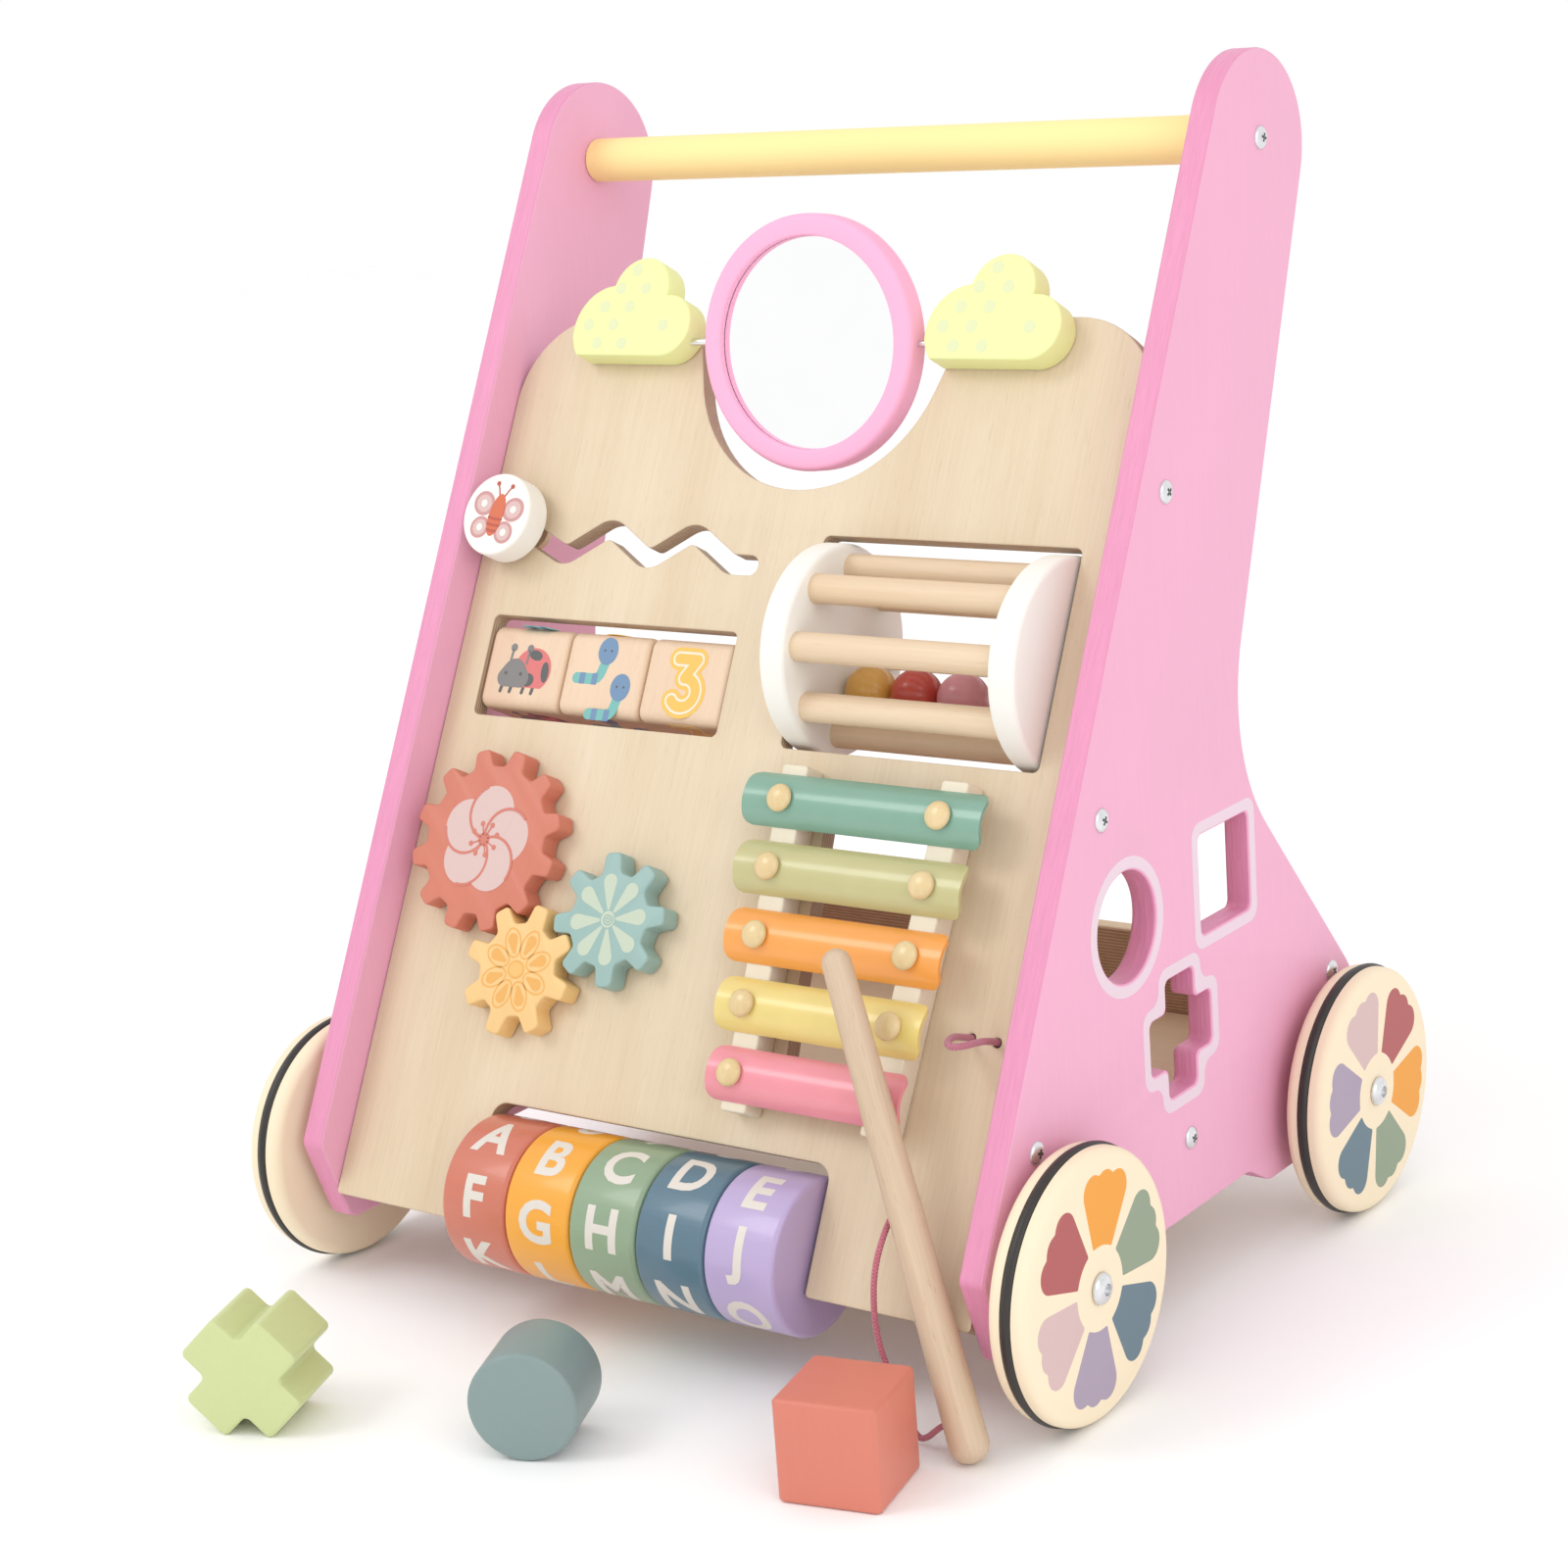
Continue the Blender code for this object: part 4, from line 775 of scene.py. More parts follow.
# ------------------------------------------------------------------------------ finishes
FACE_OUT = Vector((0.0, -0.88736, 0.46108))
MALLET_AXIS = Vector((-0.386, 0.2, 0.9))


class Finish(Enum):
    """Every finish on the walker."""

    PINK = Paint("pink_side_paint", rgb(250, 181, 211), 0.46, grain=Grain.UP,
                 edge_axis=Vector((1, 0, 0)), edge_colour=rgb(242, 156, 194))
    RING_PINK = Paint("ring_paint", rgb(238, 148, 190), 0.36, coat=0.15)
    HANDLE = Paint("handle_paint", rgb(248, 212, 120), 0.42, grain=Grain.ACROSS)
    WHITE = Paint("white_paint", rgb(238, 234, 228), 0.4)
    CLOUD = Paint("cloud_paint", rgb(192, 200, 126), 0.42)
    RAIL = Paint("rail_paint", rgb(244, 233, 209), 0.45, grain=Grain.SLOPE)
    PANEL = Wood("panel_birch", rgb(243, 225, 197), rgb(225, 202, 168), Grain.SLOPE, 0.55, 0.0, 30.0, 0.14,
                 edge_axis=FACE_OUT)
    BOARD = Wood("tray_birch", rgb(243, 222, 190), rgb(226, 197, 158), Grain.ACROSS, 0.55, 0.0, 30.0, 0.15,
                 edge_axis=Vector((0, 0, 1)))
    WHEEL = Wood("wheel_wood", rgb(246, 229, 198), rgb(234, 211, 172), Grain.UP, 0.36, 0.25, 26.0, 0.12)
    BLOCK = Wood("block_wood", rgb(250, 222, 192), rgb(236, 204, 174), Grain.SLOPE, 0.5, 0.0, 40.0, 0.30)
    DOWEL = Wood("dowel_wood", rgb(248, 226, 196), rgb(236, 206, 170), Grain.ACROSS, 0.5, 0.0, 40.0, 0.2)
    PEG = Wood("peg_wood", rgb(244, 220, 168), rgb(228, 198, 140), Grain.UP, 0.3, 0.4, 60.0, 0.15)
    MALLET = Wood("mallet_wood", rgb(236, 212, 184), rgb(208, 180, 150), MALLET_AXIS, 0.5, 0.0, 46.0, 0.45)
    RUBBER = Rubber()
    STEEL = Steel()
    SILVER = Silver()
    INK = Print()
    CORD = Braid("cord_yarn", rgb(232, 130, 150))
    LOOP = Braid("loop_yarn", rgb(226, 136, 158), 3.0, 3.0)
    BAR_1 = Enamel("bar_enamel_green", rgb(131, 176, 155))
    BAR_2 = Enamel("bar_enamel_olive", rgb(204, 198, 140))
    BAR_3 = Enamel("bar_enamel_orange", rgb(255, 169, 74))
    BAR_4 = Enamel("bar_enamel_yellow", rgb(244, 220, 132))
    BAR_5 = Enamel("bar_enamel_pink", rgb(248, 152, 165))
    ROLLER_1 = Paint("roller_coral", rgb(216, 123, 99), 0.34, 0.3, Grain.ACROSS)
    ROLLER_2 = Paint("roller_orange", rgb(255, 176, 52), 0.34, 0.3, Grain.ACROSS)
    ROLLER_3 = Paint("roller_sage", rgb(150, 174, 142), 0.34, 0.3, Grain.ACROSS)
    ROLLER_4 = Paint("roller_slate", rgb(92, 124, 142), 0.34, 0.3, Grain.ACROSS)
    ROLLER_5 = Paint("roller_lilac", rgb(197, 177, 221), 0.34, 0.3, Grain.ACROSS)
    GEAR_RED = Paint("gear_red", rgb(218, 129, 106), 0.44, grain=Grain.SLOPE)
    GEAR_YELLOW = Paint("gear_yellow", rgb(251, 208, 140), 0.44, grain=Grain.SLOPE)
    GEAR_BLUE = Paint("gear_blue", rgb(160, 192, 186), 0.44, grain=Grain.SLOPE)
    BALL_1 = Paint("ball_yellow", rgb(230, 176, 84), 0.34, 0.3)
    BALL_2 = Paint("ball_red", rgb(196, 70, 56), 0.34, 0.3)
    BALL_3 = Paint("ball_pink", rgb(214, 140, 150), 0.34, 0.3)
    SQUARE = Paint("square_red", rgb(228, 134, 114), 0.42, grain=Grain.UP)
    ROUND = Paint("round_green", rgb(142, 162, 160), 0.42, grain=Grain.FORWARD)
    CROSS = Paint("cross_green", rgb(216, 226, 164), 0.42, grain=Grain.FORWARD)

    @property
    def material(self) -> bpy.types.Material:
        """The finish's material, built the first time it is asked for."""
        found = bpy.data.materials.get(self.value.name)
        return found or self.value.make()


# ------------------------------------------------------------------------------ the bench
@dataclass
class Bench:
    """Turns solids into finished pieces, dresses CAD nodes and reports each one."""

    walker: Matrix
    panel: Matrix

    def piece(self, name: str, solid: Solid, finish: Finish, body: str, place: Matrix,
              stands_for: Sequence[str] = (), slot: str = "", sharp: float = 38.0) -> bpy.types.Object:
        """Makes one piece that rides on a body.

        Args:
            name: the piece's name.
            solid: its shape, in millimetres.
            finish: its finish.
            body: the CAD body it moves with.
            place: from the solid's own frame to the row frame, in millimetres.
            stands_for: CAD nodes that it replaces.
            slot: not used.
            sharp: the angle above which its edges are sharp.
        """
        thing = bpy.data.objects.new(name, solid.mesh(name, place, sharp))
        bpy.context.collection.objects.link(thing)
        return self.settle(thing, finish, body, stands_for)

    def settle(self, thing: bpy.types.Object, finish: Finish, body: str, stands_for: Sequence[str] = ()) -> bpy.types.Object:
        """Gives a finished object its material and body, hides the CAD nodes it stands for, and logs it."""
        thing.data.materials.clear()
        thing.data.materials.append(finish.material)
        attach(thing, body)
        if stands_for:
            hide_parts(*stands_for)
        LOG.info("%s rides on %s with %s, %d faces", thing.name, body, finish.name,
                 len(thing.data.polygons))
        return thing


@dataclass
class Stencil:
    """Thin layers of ink on a flat face, each a hair above the last."""

    lift: float = 0.03
    film: float = 0.035
    sheet: Solid = field(default_factory=Solid)
    layer: int = 0

    def ink(self, outline: Outline, colour: Colour, holes: Sequence[Outline] = (),
            layer: int | None = None) -> None:
        """Prints one shape.

        Args:
            outline: the shape.
            colour: of the ink.
            holes: gaps in it.
            layer: the height it lies at, counted in films; by default above all before it.
        """
        self.layer = self.layer + 1 if layer is None else layer
        top = self.lift + self.film * self.layer
        self.sheet.add(plate(outline, -0.2, top, holes, edge=0.0).painted(colour))


# ------------------------------------------------------------------------------ geometry nodes
class Scatter:
    """A Geometry Nodes tree that puts a pattern piece at every point of a mesh."""

    seed = 3    # fixes the turns

    def __init__(self, name: str) -> None:
        """Builds the tree: pattern, finish and spin go in by name."""
        self.tree = bpy.data.node_groups.new(name, "GeometryNodeTree")
        face = self.tree.interface
        self.ids: dict[str, str] = {}
        for label, kind, side in (("Points", "NodeSocketGeometry", "INPUT"),
                                  ("Pattern", "NodeSocketObject", "INPUT"),
                                  ("Finish", "NodeSocketMaterial", "INPUT"),
                                  ("Spin", "NodeSocketFloat", "INPUT"), ("Seed", "NodeSocketInt", "INPUT"),
                                  ("Pieces", "NodeSocketGeometry", "OUTPUT")):
            self.ids[label] = face.new_socket(label, in_out=side, socket_type=kind).identifier
        nodes, links = self.tree.nodes, self.tree.links
        group_in, group_out = nodes.new("NodeGroupInput"), nodes.new("NodeGroupOutput")
        info = nodes.new("GeometryNodeObjectInfo")
        info.transform_space = "ORIGINAL"
        links.new(group_in.outputs["Pattern"], info.inputs["Object"])
        turn = nodes.new("FunctionNodeInputVector")
        turn.vector = (0.0, 0.0, 1.0)
        chance = nodes.new("FunctionNodeRandomValue")
        chance.data_type = "FLOAT"
        links.new(group_in.outputs["Spin"], chance.inputs[3])
        links.new(group_in.outputs["Seed"], chance.inputs["Seed"])
        spin = nodes.new("ShaderNodeVectorMath")
        spin.operation = "SCALE"
        links.new(turn.outputs[0], spin.inputs[0])
        links.new(chance.outputs[1], spin.inputs["Scale"])
        place = nodes.new("GeometryNodeInstanceOnPoints")
        links.new(group_in.outputs["Points"], place.inputs["Points"])
        links.new(info.outputs["Geometry"], place.inputs["Instance"])
        links.new(spin.outputs[0], place.inputs["Rotation"])
        real = nodes.new("GeometryNodeRealizeInstances")
        links.new(place.outputs[0], real.inputs[0])
        dress = nodes.new("GeometryNodeSetMaterial")
        links.new(real.outputs[0], dress.inputs[0])
        links.new(group_in.outputs["Finish"], dress.inputs["Material"])
        links.new(dress.outputs[0], group_out.inputs[0])

    def spread(self, name: str, spots: Sequence[Vector], pattern: Solid, finish: Finish, place: Matrix,
               spin: float = 0.0) -> bpy.types.Object:
        """Repeats a pattern at spots, as one plain mesh.

        Args:
            name: the new object's name.
            spots: where the pattern goes, in the pattern's own frame, in millimetres.
            pattern: the shape that repeats.
            finish: its finish.
            place: from that frame to the row frame.
            spin: the most that each copy is turned about its z, in radians.
        """
        master = bpy.data.objects.new(f"{name}_pattern",
                                      pattern.mesh(f"{name}_pattern", Matrix.Identity(4), 35.0))
        bpy.context.collection.objects.link(master)
        points = bpy.data.meshes.new(f"{name}_points")
        points.from_pydata([tuple(spot * MM) for spot in spots], [], [])
        holder = bpy.data.objects.new(f"{name}_points", points)
        bpy.context.collection.objects.link(holder)
        change = holder.modifiers.new("scatter", "NODES")
        change.node_group = self.tree
        for label, value in (("Pattern", master), ("Finish", finish.material), 
                             ("Spin", float(spin)), ("Seed", self.seed)):
            change[self.ids[label]] = value
        graph = bpy.context.evaluated_depsgraph_get()
        mesh = bpy.data.meshes.new_from_object(holder.evaluated_get(graph), depsgraph=graph)
        for item in (holder, master):
            bpy.data.objects.remove(item, do_unlink=True)
        scaled = Matrix.Translation(place.translation * MM) @ place.to_3x3().to_4x4()
        mesh.transform(scaled)
        mesh.name = name
        thing = bpy.data.objects.new(name, mesh)
        bpy.context.collection.objects.link(thing)
        return thing


# ------------------------------------------------------------------------------ sub-assemblies
@dataclass
class SidePanels:
    """The two painted sides, with the sorter's holes in the right one."""

    face: float = 170.0
    thickness: float = 11.0
    ground_clearance: float = 28.0
    belly_rise: float = 10.0
    wheelbase: float = 230.2
    lean: float = 27.457
    round_hole: tuple[float, float, float] = (71.0, 168.3, 43.6)
    square_hole: tuple[float, float, float] = (148.3, 168.8, 40.6)
    cross_hole: tuple[float, float, float, float] = (108.6, 114.2, 48.4, 22.2)
    fillet: float = 3.0
    band: float = 5.5
    band_colour: Colour = rgb(247, 222, 234)
    screws: tuple[Point, ...] = ((199.4, 452.2), (113.8, 327.7), (55.3, 214.3), (-1.7, 102.7),
                                 (112.0, 69.4),
                                 (237.4, 101.4))

    def outline(self) -> Outline:
        """The side's edge, back and height."""
        low, belly = self.ground_clearance, self.ground_clearance + self.belly_rise
        nose = -77.6 + tan(radians(self.lean)) * 68.0
        foot, step = 22.0, 12.0
        return belt((
            (nose + 5.8, 65.0, 5.0), (-23.5, low + 7.0, 7.0), (50.0, low + step, step),
            (74.0, belly - step, -step), (self.wheelbase - 74.0, belly - step, -step),
            (self.wheelbase - 50.0, low + step, step), (self.wheelbase + 3.0, low + foot, foot),
            (self.wheelbase - 16.0, low + 44.0, 49.0), (246.1, 233.0,
                                                        -80.7), (198.0, 449.0, 37.5)), step=3.0)

    def holes(self, grow: float = 0.0) -> list[Outline]:
        """The three sorting holes, or outlines grown round them."""
        half = self.square_hole[2] / 2 + grow
        span, arm = self.cross_hole[2] / 2 + grow, self.cross_hole[3] / 2 + grow
        quarter = ((span, -arm), (span, arm), (arm, arm))
        corners = [p for k in range(4) for p in placed(quarter, turn=90.0 * k)]
        soft = self.fillet + grow * 0.6
        return [circle(self.round_hole[:2], self.round_hole[2] / 2 + grow, 96),
                placed(box_outline(-half, -half, half, half, soft), *self.square_hole[:2]),
                placed(rounded(corners, soft), *self.cross_hole[:2])]

    def build(self, bench: Bench) -> None:
        """Makes both sides, the painted bands and the screws."""
        inner = self.face - self.thickness
        place = bench.walker @ ALONG_X
        bench.piece("right_side", plate(self.outline(), inner, self.face, self.holes(), 1.1, 4),
                    Finish.PINK, ROOT,
                    place, ["right_side_panel"], "pink_paint")
        bench.piece("left_side", plate(self.outline(), -self.face, -inner, (), 1.1, 4), Finish.PINK, ROOT,
                    place,
                    ["left_side_panel"], "pink_paint")
        bands = Stencil()
        for ring, hole in zip(self.holes(self.band), self.holes(0.9)):
            bands.ink(ring, self.band_colour, [hole], layer=0)
        bench.piece("hole_bands", bands.sheet, Finish.INK, ROOT, place @ at(z=self.face))
        self.screw_heads(bench)

    def screw_heads(self, bench: Bench) -> None:
        """Domed screws on both outer faces, each with a dark cross in its dome as painted shade of its cross
        slot.
        """
        radius, height = 4.6, 1.7
        rows = [(radius, -0.2), (radius, 0.25)] + [(radius * cos(a), 0.25 + height * sin(a))
                                                   for a in (pi / 12 * k for k in range(1, 6))]
        head = turned([(0, -0.2), *rows, (0, 0.25 + height)], 32)
        # slot is a solid dark cross, painted shade where the screw's slot would be hollow
        slot = painted_slot_shade(1.7, 0.5, 0.9, height + 0.26)
        spots = [Vector((back, up, 0.0)) for back, up in self.screws]
        scatter = Scatter("screw_heads")
        for side, turn in (("right", Matrix.Identity(4)), ("left", Matrix.Rotation(pi, 4, "Z"))):
            sign = 1 if side == "right" else -1
            outward = ALONG_X if sign > 0 else Matrix.Scale(-1, 4, (1, 0, 0)) @ ALONG_X
            place = bench.walker @ outward @ at(z=self.face)
            heads = scatter.spread(f"{side}_screw_heads", spots, head, Finish.STEEL, place, spin=pi)
            # the dark rubber finish on the slot cross paints the shade inside the slots
            slot_shades = scatter.spread(f"{side}_screw_slots", spots, slot, Finish.RUBBER, place, spin=pi)
            for thing, finish in ((heads, Finish.STEEL), (slot_shades, Finish.RUBBER)):
                outwards(thing.data)
                bench.settle(thing, finish, ROOT)


def outwards(mesh: bpy.types.Mesh) -> None:
    """Turns every face of a closed mesh outwards."""
    work = bmesh.new()
    work.from_mesh(mesh)
    bmesh.ops.recalc_face_normals(work, faces=work.faces)
    work.to_mesh(mesh)
    work.free()


def grown(size: float) -> Matrix:
    """A matrix that widens a flat print without thickening it."""
    return Matrix.Diagonal((size, size, 1.0, 1.0))


def painted_slot_shade(reach: float, half_width: float, depth: float, top: float) -> Solid:
    """A dark cross sunk flush into a screw's dome: painted shade standing for the slot's hollow."""
    quarter = ((reach, -half_width), (reach, half_width), (half_width, half_width))
    corners = [p for k in range(4) for p in placed(quarter, turn=90.0 * k)]
    return plate(corners, top - depth, top - 0.02, edge=0.0)


@dataclass
class Tray:
    """The floor board, the rear board and the handle between the sides."""

    half: float = 158.7
    thickness: float = 9.0
    top: float = 74.3
    front: float = 40.0
    rear: float = 232.0
    rear_top: float = 110.0
    handle_back: float = 196.1
    handle_height: float = 452.5
    handle_radius: float = 9.5

    def build(self, bench: Bench) -> None:
        """Makes the three pieces."""
        low = self.top - self.thickness
        floor = plate(box_outline(-self.half, self.front, self.half, self.rear - 0.3, 0.8), low, self.top,
                      edge=0.6)
        bench.piece("tray_floor", floor, Finish.BOARD, ROOT, bench.walker, ["floor_board"], "birch_ply")
        outline = box_outline(self.rear, low, self.rear + self.thickness, self.rear_top, 1.6)
        bench.piece("tray_rear", plate(outline, -self.half, self.half, edge=0.3), Finish.BOARD, ROOT,
                    bench.walker @ ALONG_X, ["rear_board"], "birch_ply")
        bench.piece("push_handle", disc(self.handle_radius, -self.half, self.half, 0.4, 64), Finish.HANDLE,
                    ROOT,
                    bench.walker @ at(0, self.handle_back,
                                      self.handle_height) @ ALONG_X, ["handle"], "handle_paint")


@dataclass
class Wheels:
    """Four turned wheels with printed petals, a rubber ring and a domed bolt."""

    radius: float = 53.2
    width: float = 17.0
    inner: float = 176.3
    ring: float = 2.5
    bore: float = 3.7
    hub: float = 16.2
    petal_reach: float = 44.4
    petals: tuple[Colour, ...] = (rgb(255, 170, 50), rgb(152, 168, 142), rgb(104, 130, 144),
                                  rgb(180, 164, 186),
                                  rgb(228, 196, 194), rgb(188, 92, 92))
    first_petal: dict[str, float] = field(default_factory=lambda: {
        "front_right": 79.0, "rear_right": -12.0, "front_left": 40.0, "rear_left": 205.0})

    def profile(self) -> Outline:
        """Radius and distance along the axle round the wheel's section."""
        wood, half, edge = self.radius - 1.0, self.width / 2, 4.2
        groove, centre = self.ring + 0.3, self.radius - self.ring
        mouth = asin((wood - centre) / groove)
        quarter = [pi / 2 * j / 6 for j in range(7)]
        points = [(self.bore, -half)]
        points += [(wood - edge + edge * sin(a), -half + edge - edge * cos(a)) for a in quarter]
        sweep = [pi - mouth + (pi + 2 * mouth) * j / 12 for j in range(13)]
        points += [(centre + groove * sin(a), groove * cos(a)) for a in sweep]
        points += [(wood - edge + edge * cos(a), half - edge + edge * sin(a)) for a in quarter]
        return [*points, (self.bore, half)]

    def petal(self) -> Outline:
        """One petal pointing along x, with three lobes at its end."""
        lobe, spread = 6.9, 13.2
        reach = self.petal_reach - lobe
        valley = 1.2
        side = [reach * cos(radians(spread)), reach * sin(radians(spread))]
        half_gap = hypot(side[0] - reach, side[1]) / 2
        bearing = radians(spread / 2)
        out = reach * cos(bearing) + sqrt((lobe + valley + 0.05) ** 2 - half_gap ** 2)
        corner, angle = 0.9, radians(20.5)
        near = self.hub + corner + 0.05
        return belt((
            (near * cos(angle), -near * sin(angle), corner), (side[0], -side[1], lobe),
            (out * cos(bearing), -out * sin(bearing), -valley), (reach, 0.0, lobe),
            (out * cos(bearing), out * sin(bearing), -valley), (side[0], side[1], lobe),
            (near * cos(angle), near * sin(angle), corner), (0.0, 0.0, -self.hub)), step=6.0)

    def build(self, bench: Bench) -> None:
        """Makes each wheel where the frame has it."""
        middle = self.inner + self.width / 2
        section = [(self.radius - self.ring + self.ring * cos(a), self.ring * sin(a))
                   for a in (2 * pi * j / 20 for j in range(20))]
        for end in ("front", "rear"):
            low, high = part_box(f"{end}_right_tyre")
            back = (low[1] + high[1]) / 2 / MM
            for side, sign in (("left", -1), ("right", 1)):
                name, body = f"{end}_{side}", f"{end}_{side}_wheel_set"
                turn = Matrix.Identity(4) if sign > 0 else Matrix.Rotation(pi, 4, "Z")
                hub = at(0, back, self.radius) @ turn @ ALONG_X @ at(z=middle)
                bench.piece(f"{name}_wheel_wood", turned(self.profile(), 128, closed=True), Finish.WHEEL,
                            body, hub,
                            [f"{name}_wheel"], "wheel_wood")
                bench.piece(f"{name}_rubber_ring", turned(section, 128, closed=True), Finish.RUBBER, body,
                            hub,
                            [f"{name}_tyre"], "rubber")
                print_ = Stencil()
                for k, colour in enumerate(self.petals):
                    print_.ink(placed(self.petal(), turn=self.first_petal[name] - 60.0 * k), colour,
                               layer=0)
                bench.piece(f"{name}_petals", print_.sheet, Finish.INK, body, hub @ at(z=self.width / 2))
                self.bolt(bench, name, at(0, back, self.radius) @ turn @ ALONG_X)

    def bolt(self, bench: Bench, name: str, place: Matrix) -> None:
        """A domed bolt with a hexagon socket, and its spacer behind the wheel."""
        reach = self.inner + self.width + 0.3
        shank = [(0, 160.0), (3.3, 160.0), (3.3, 170.3), (7.0, 170.3), (7.0, 176.0), (3.3, 176.0),
                 (3.3, reach)]
        socket, depth, height = 2.4, 1.8, 3.2
        dome = [(6.1, reach), (6.2, reach + 0.5)] + [(6.1 * cos(a), reach + 0.5 + (height - 0.5) * sin(a))
                                                     for a in (pi / 2 * j / 8 for j in range(1, 7))]
        floor = reach + height - depth
        profile = [*shank, *dome, (socket, reach + height - 0.15), (socket, floor), (0, floor)]
        bench.piece(f"{name}_bolt", turned(profile, 48), Finish.STEEL, ROOT, place, [f"{name}_wheel_bolt"],
                    "steel")


@dataclass
class FrontPanel:
    """The leaning birch face with its windows, its slot and its dip."""

    half: float = 158.7
    thickness: float = 9.0
    top: float = 391.0
    shoulder: float = 40.2
    dip_up: float = 377.0
    dip: float = 60.5
    lip: float = 13.0
    corner: float = 2.0
    arch: tuple[float, float, float] = (84.6, 50.5, 7.0)
    block_window: tuple[float, float, float, float] = (-78.3, 233.1, 65.25, 22.1)
    drum_window: tuple[float, float, float, float] = (80.1, 253.6, 60.2, 44.2)
    chime_window: tuple[float, float, float, float, float] = (75.3, 192.0, 72.0, 27.0, 20.6)
    slot: tuple[Point, ...] = ((-140.0, 295.0), (-112.5, 283.0), (-90.5, 296.7), (-67.5, 283.0),
                               (-46.0, 296.6),
                               (-24.5, 283.6), (-14.5, 283.6))
    small_holes: tuple[tuple[float, float, float], ...] = ((123.5, 41.0, 1.8), (134.7, 106.6, 1.85),
                                                          (146.0, 106.4, 1.85))

    def outline(self) -> Outline:
        """The rim, from the right foot up, round the dip and down, and under the arch."""
        half, corner = self.half, self.corner
        arch, arch_up, arch_corner = self.arch
        shoulder = (half - self.shoulder, self.top - self.shoulder, self.shoulder)
        lip = (self.dip + self.lip + 3.5, self.top - self.lip, self.lip)
        foot = (half - corner, corner, corner)
        arch_foot = (arch + corner, corner, corner)
        arch_top = (arch - arch_corner, arch_up - arch_corner, -arch_corner)

        def other(spot: tuple[float, float, float]) -> tuple[float, float, float]:
            """The same circle on the left."""
            return (-spot[0], spot[1], spot[2])

        return belt((foot, shoulder, lip, (0.0, self.dip_up, -self.dip), other(lip), other(shoulder),
                     other(foot),
                     other(arch_foot), other(arch_top), arch_top, arch_foot), step=4.0)

    def windows(self) -> list[Outline]:
        """Every hole through the face."""
        holes = []
        for x, y, wide, tall in (self.block_window, self.drum_window):
            holes.append(box_outline(x - wide, y - tall, x + wide, y + tall, 2.8))
        x, top, foot, wide, narrow = self.chime_window
        holes.append(rounded(((x - narrow, foot), (x + narrow, foot), (x + wide, top), (x - wide, top)),
                             4.0))
        holes.append(stroke(rounded(self.slot, 8.0, 10, closed=False), 8.5))
        return holes + [circle((x, y), r, 24) for x, y, r in self.small_holes]

    def build(self, bench: Bench) -> None:
        """Makes the face and the bracket behind it."""
        board = plate(self.outline(), -self.thickness, 0.0, self.windows(), 0.7, 3)
        bench.piece("activity_panel", board, Finish.PANEL, ROOT, bench.panel, ["front_panel"], "birch_ply")
        section = box_outline(223.1, -27.0, 263.6, -9.3, 3.0)
        bench.piece("panel_bracket", plate(section, -5.5, 12.5, edge=0.8), Finish.BOARD, ROOT,
                    bench.panel @ ALONG_X, ["rod_bracket"], "beech")


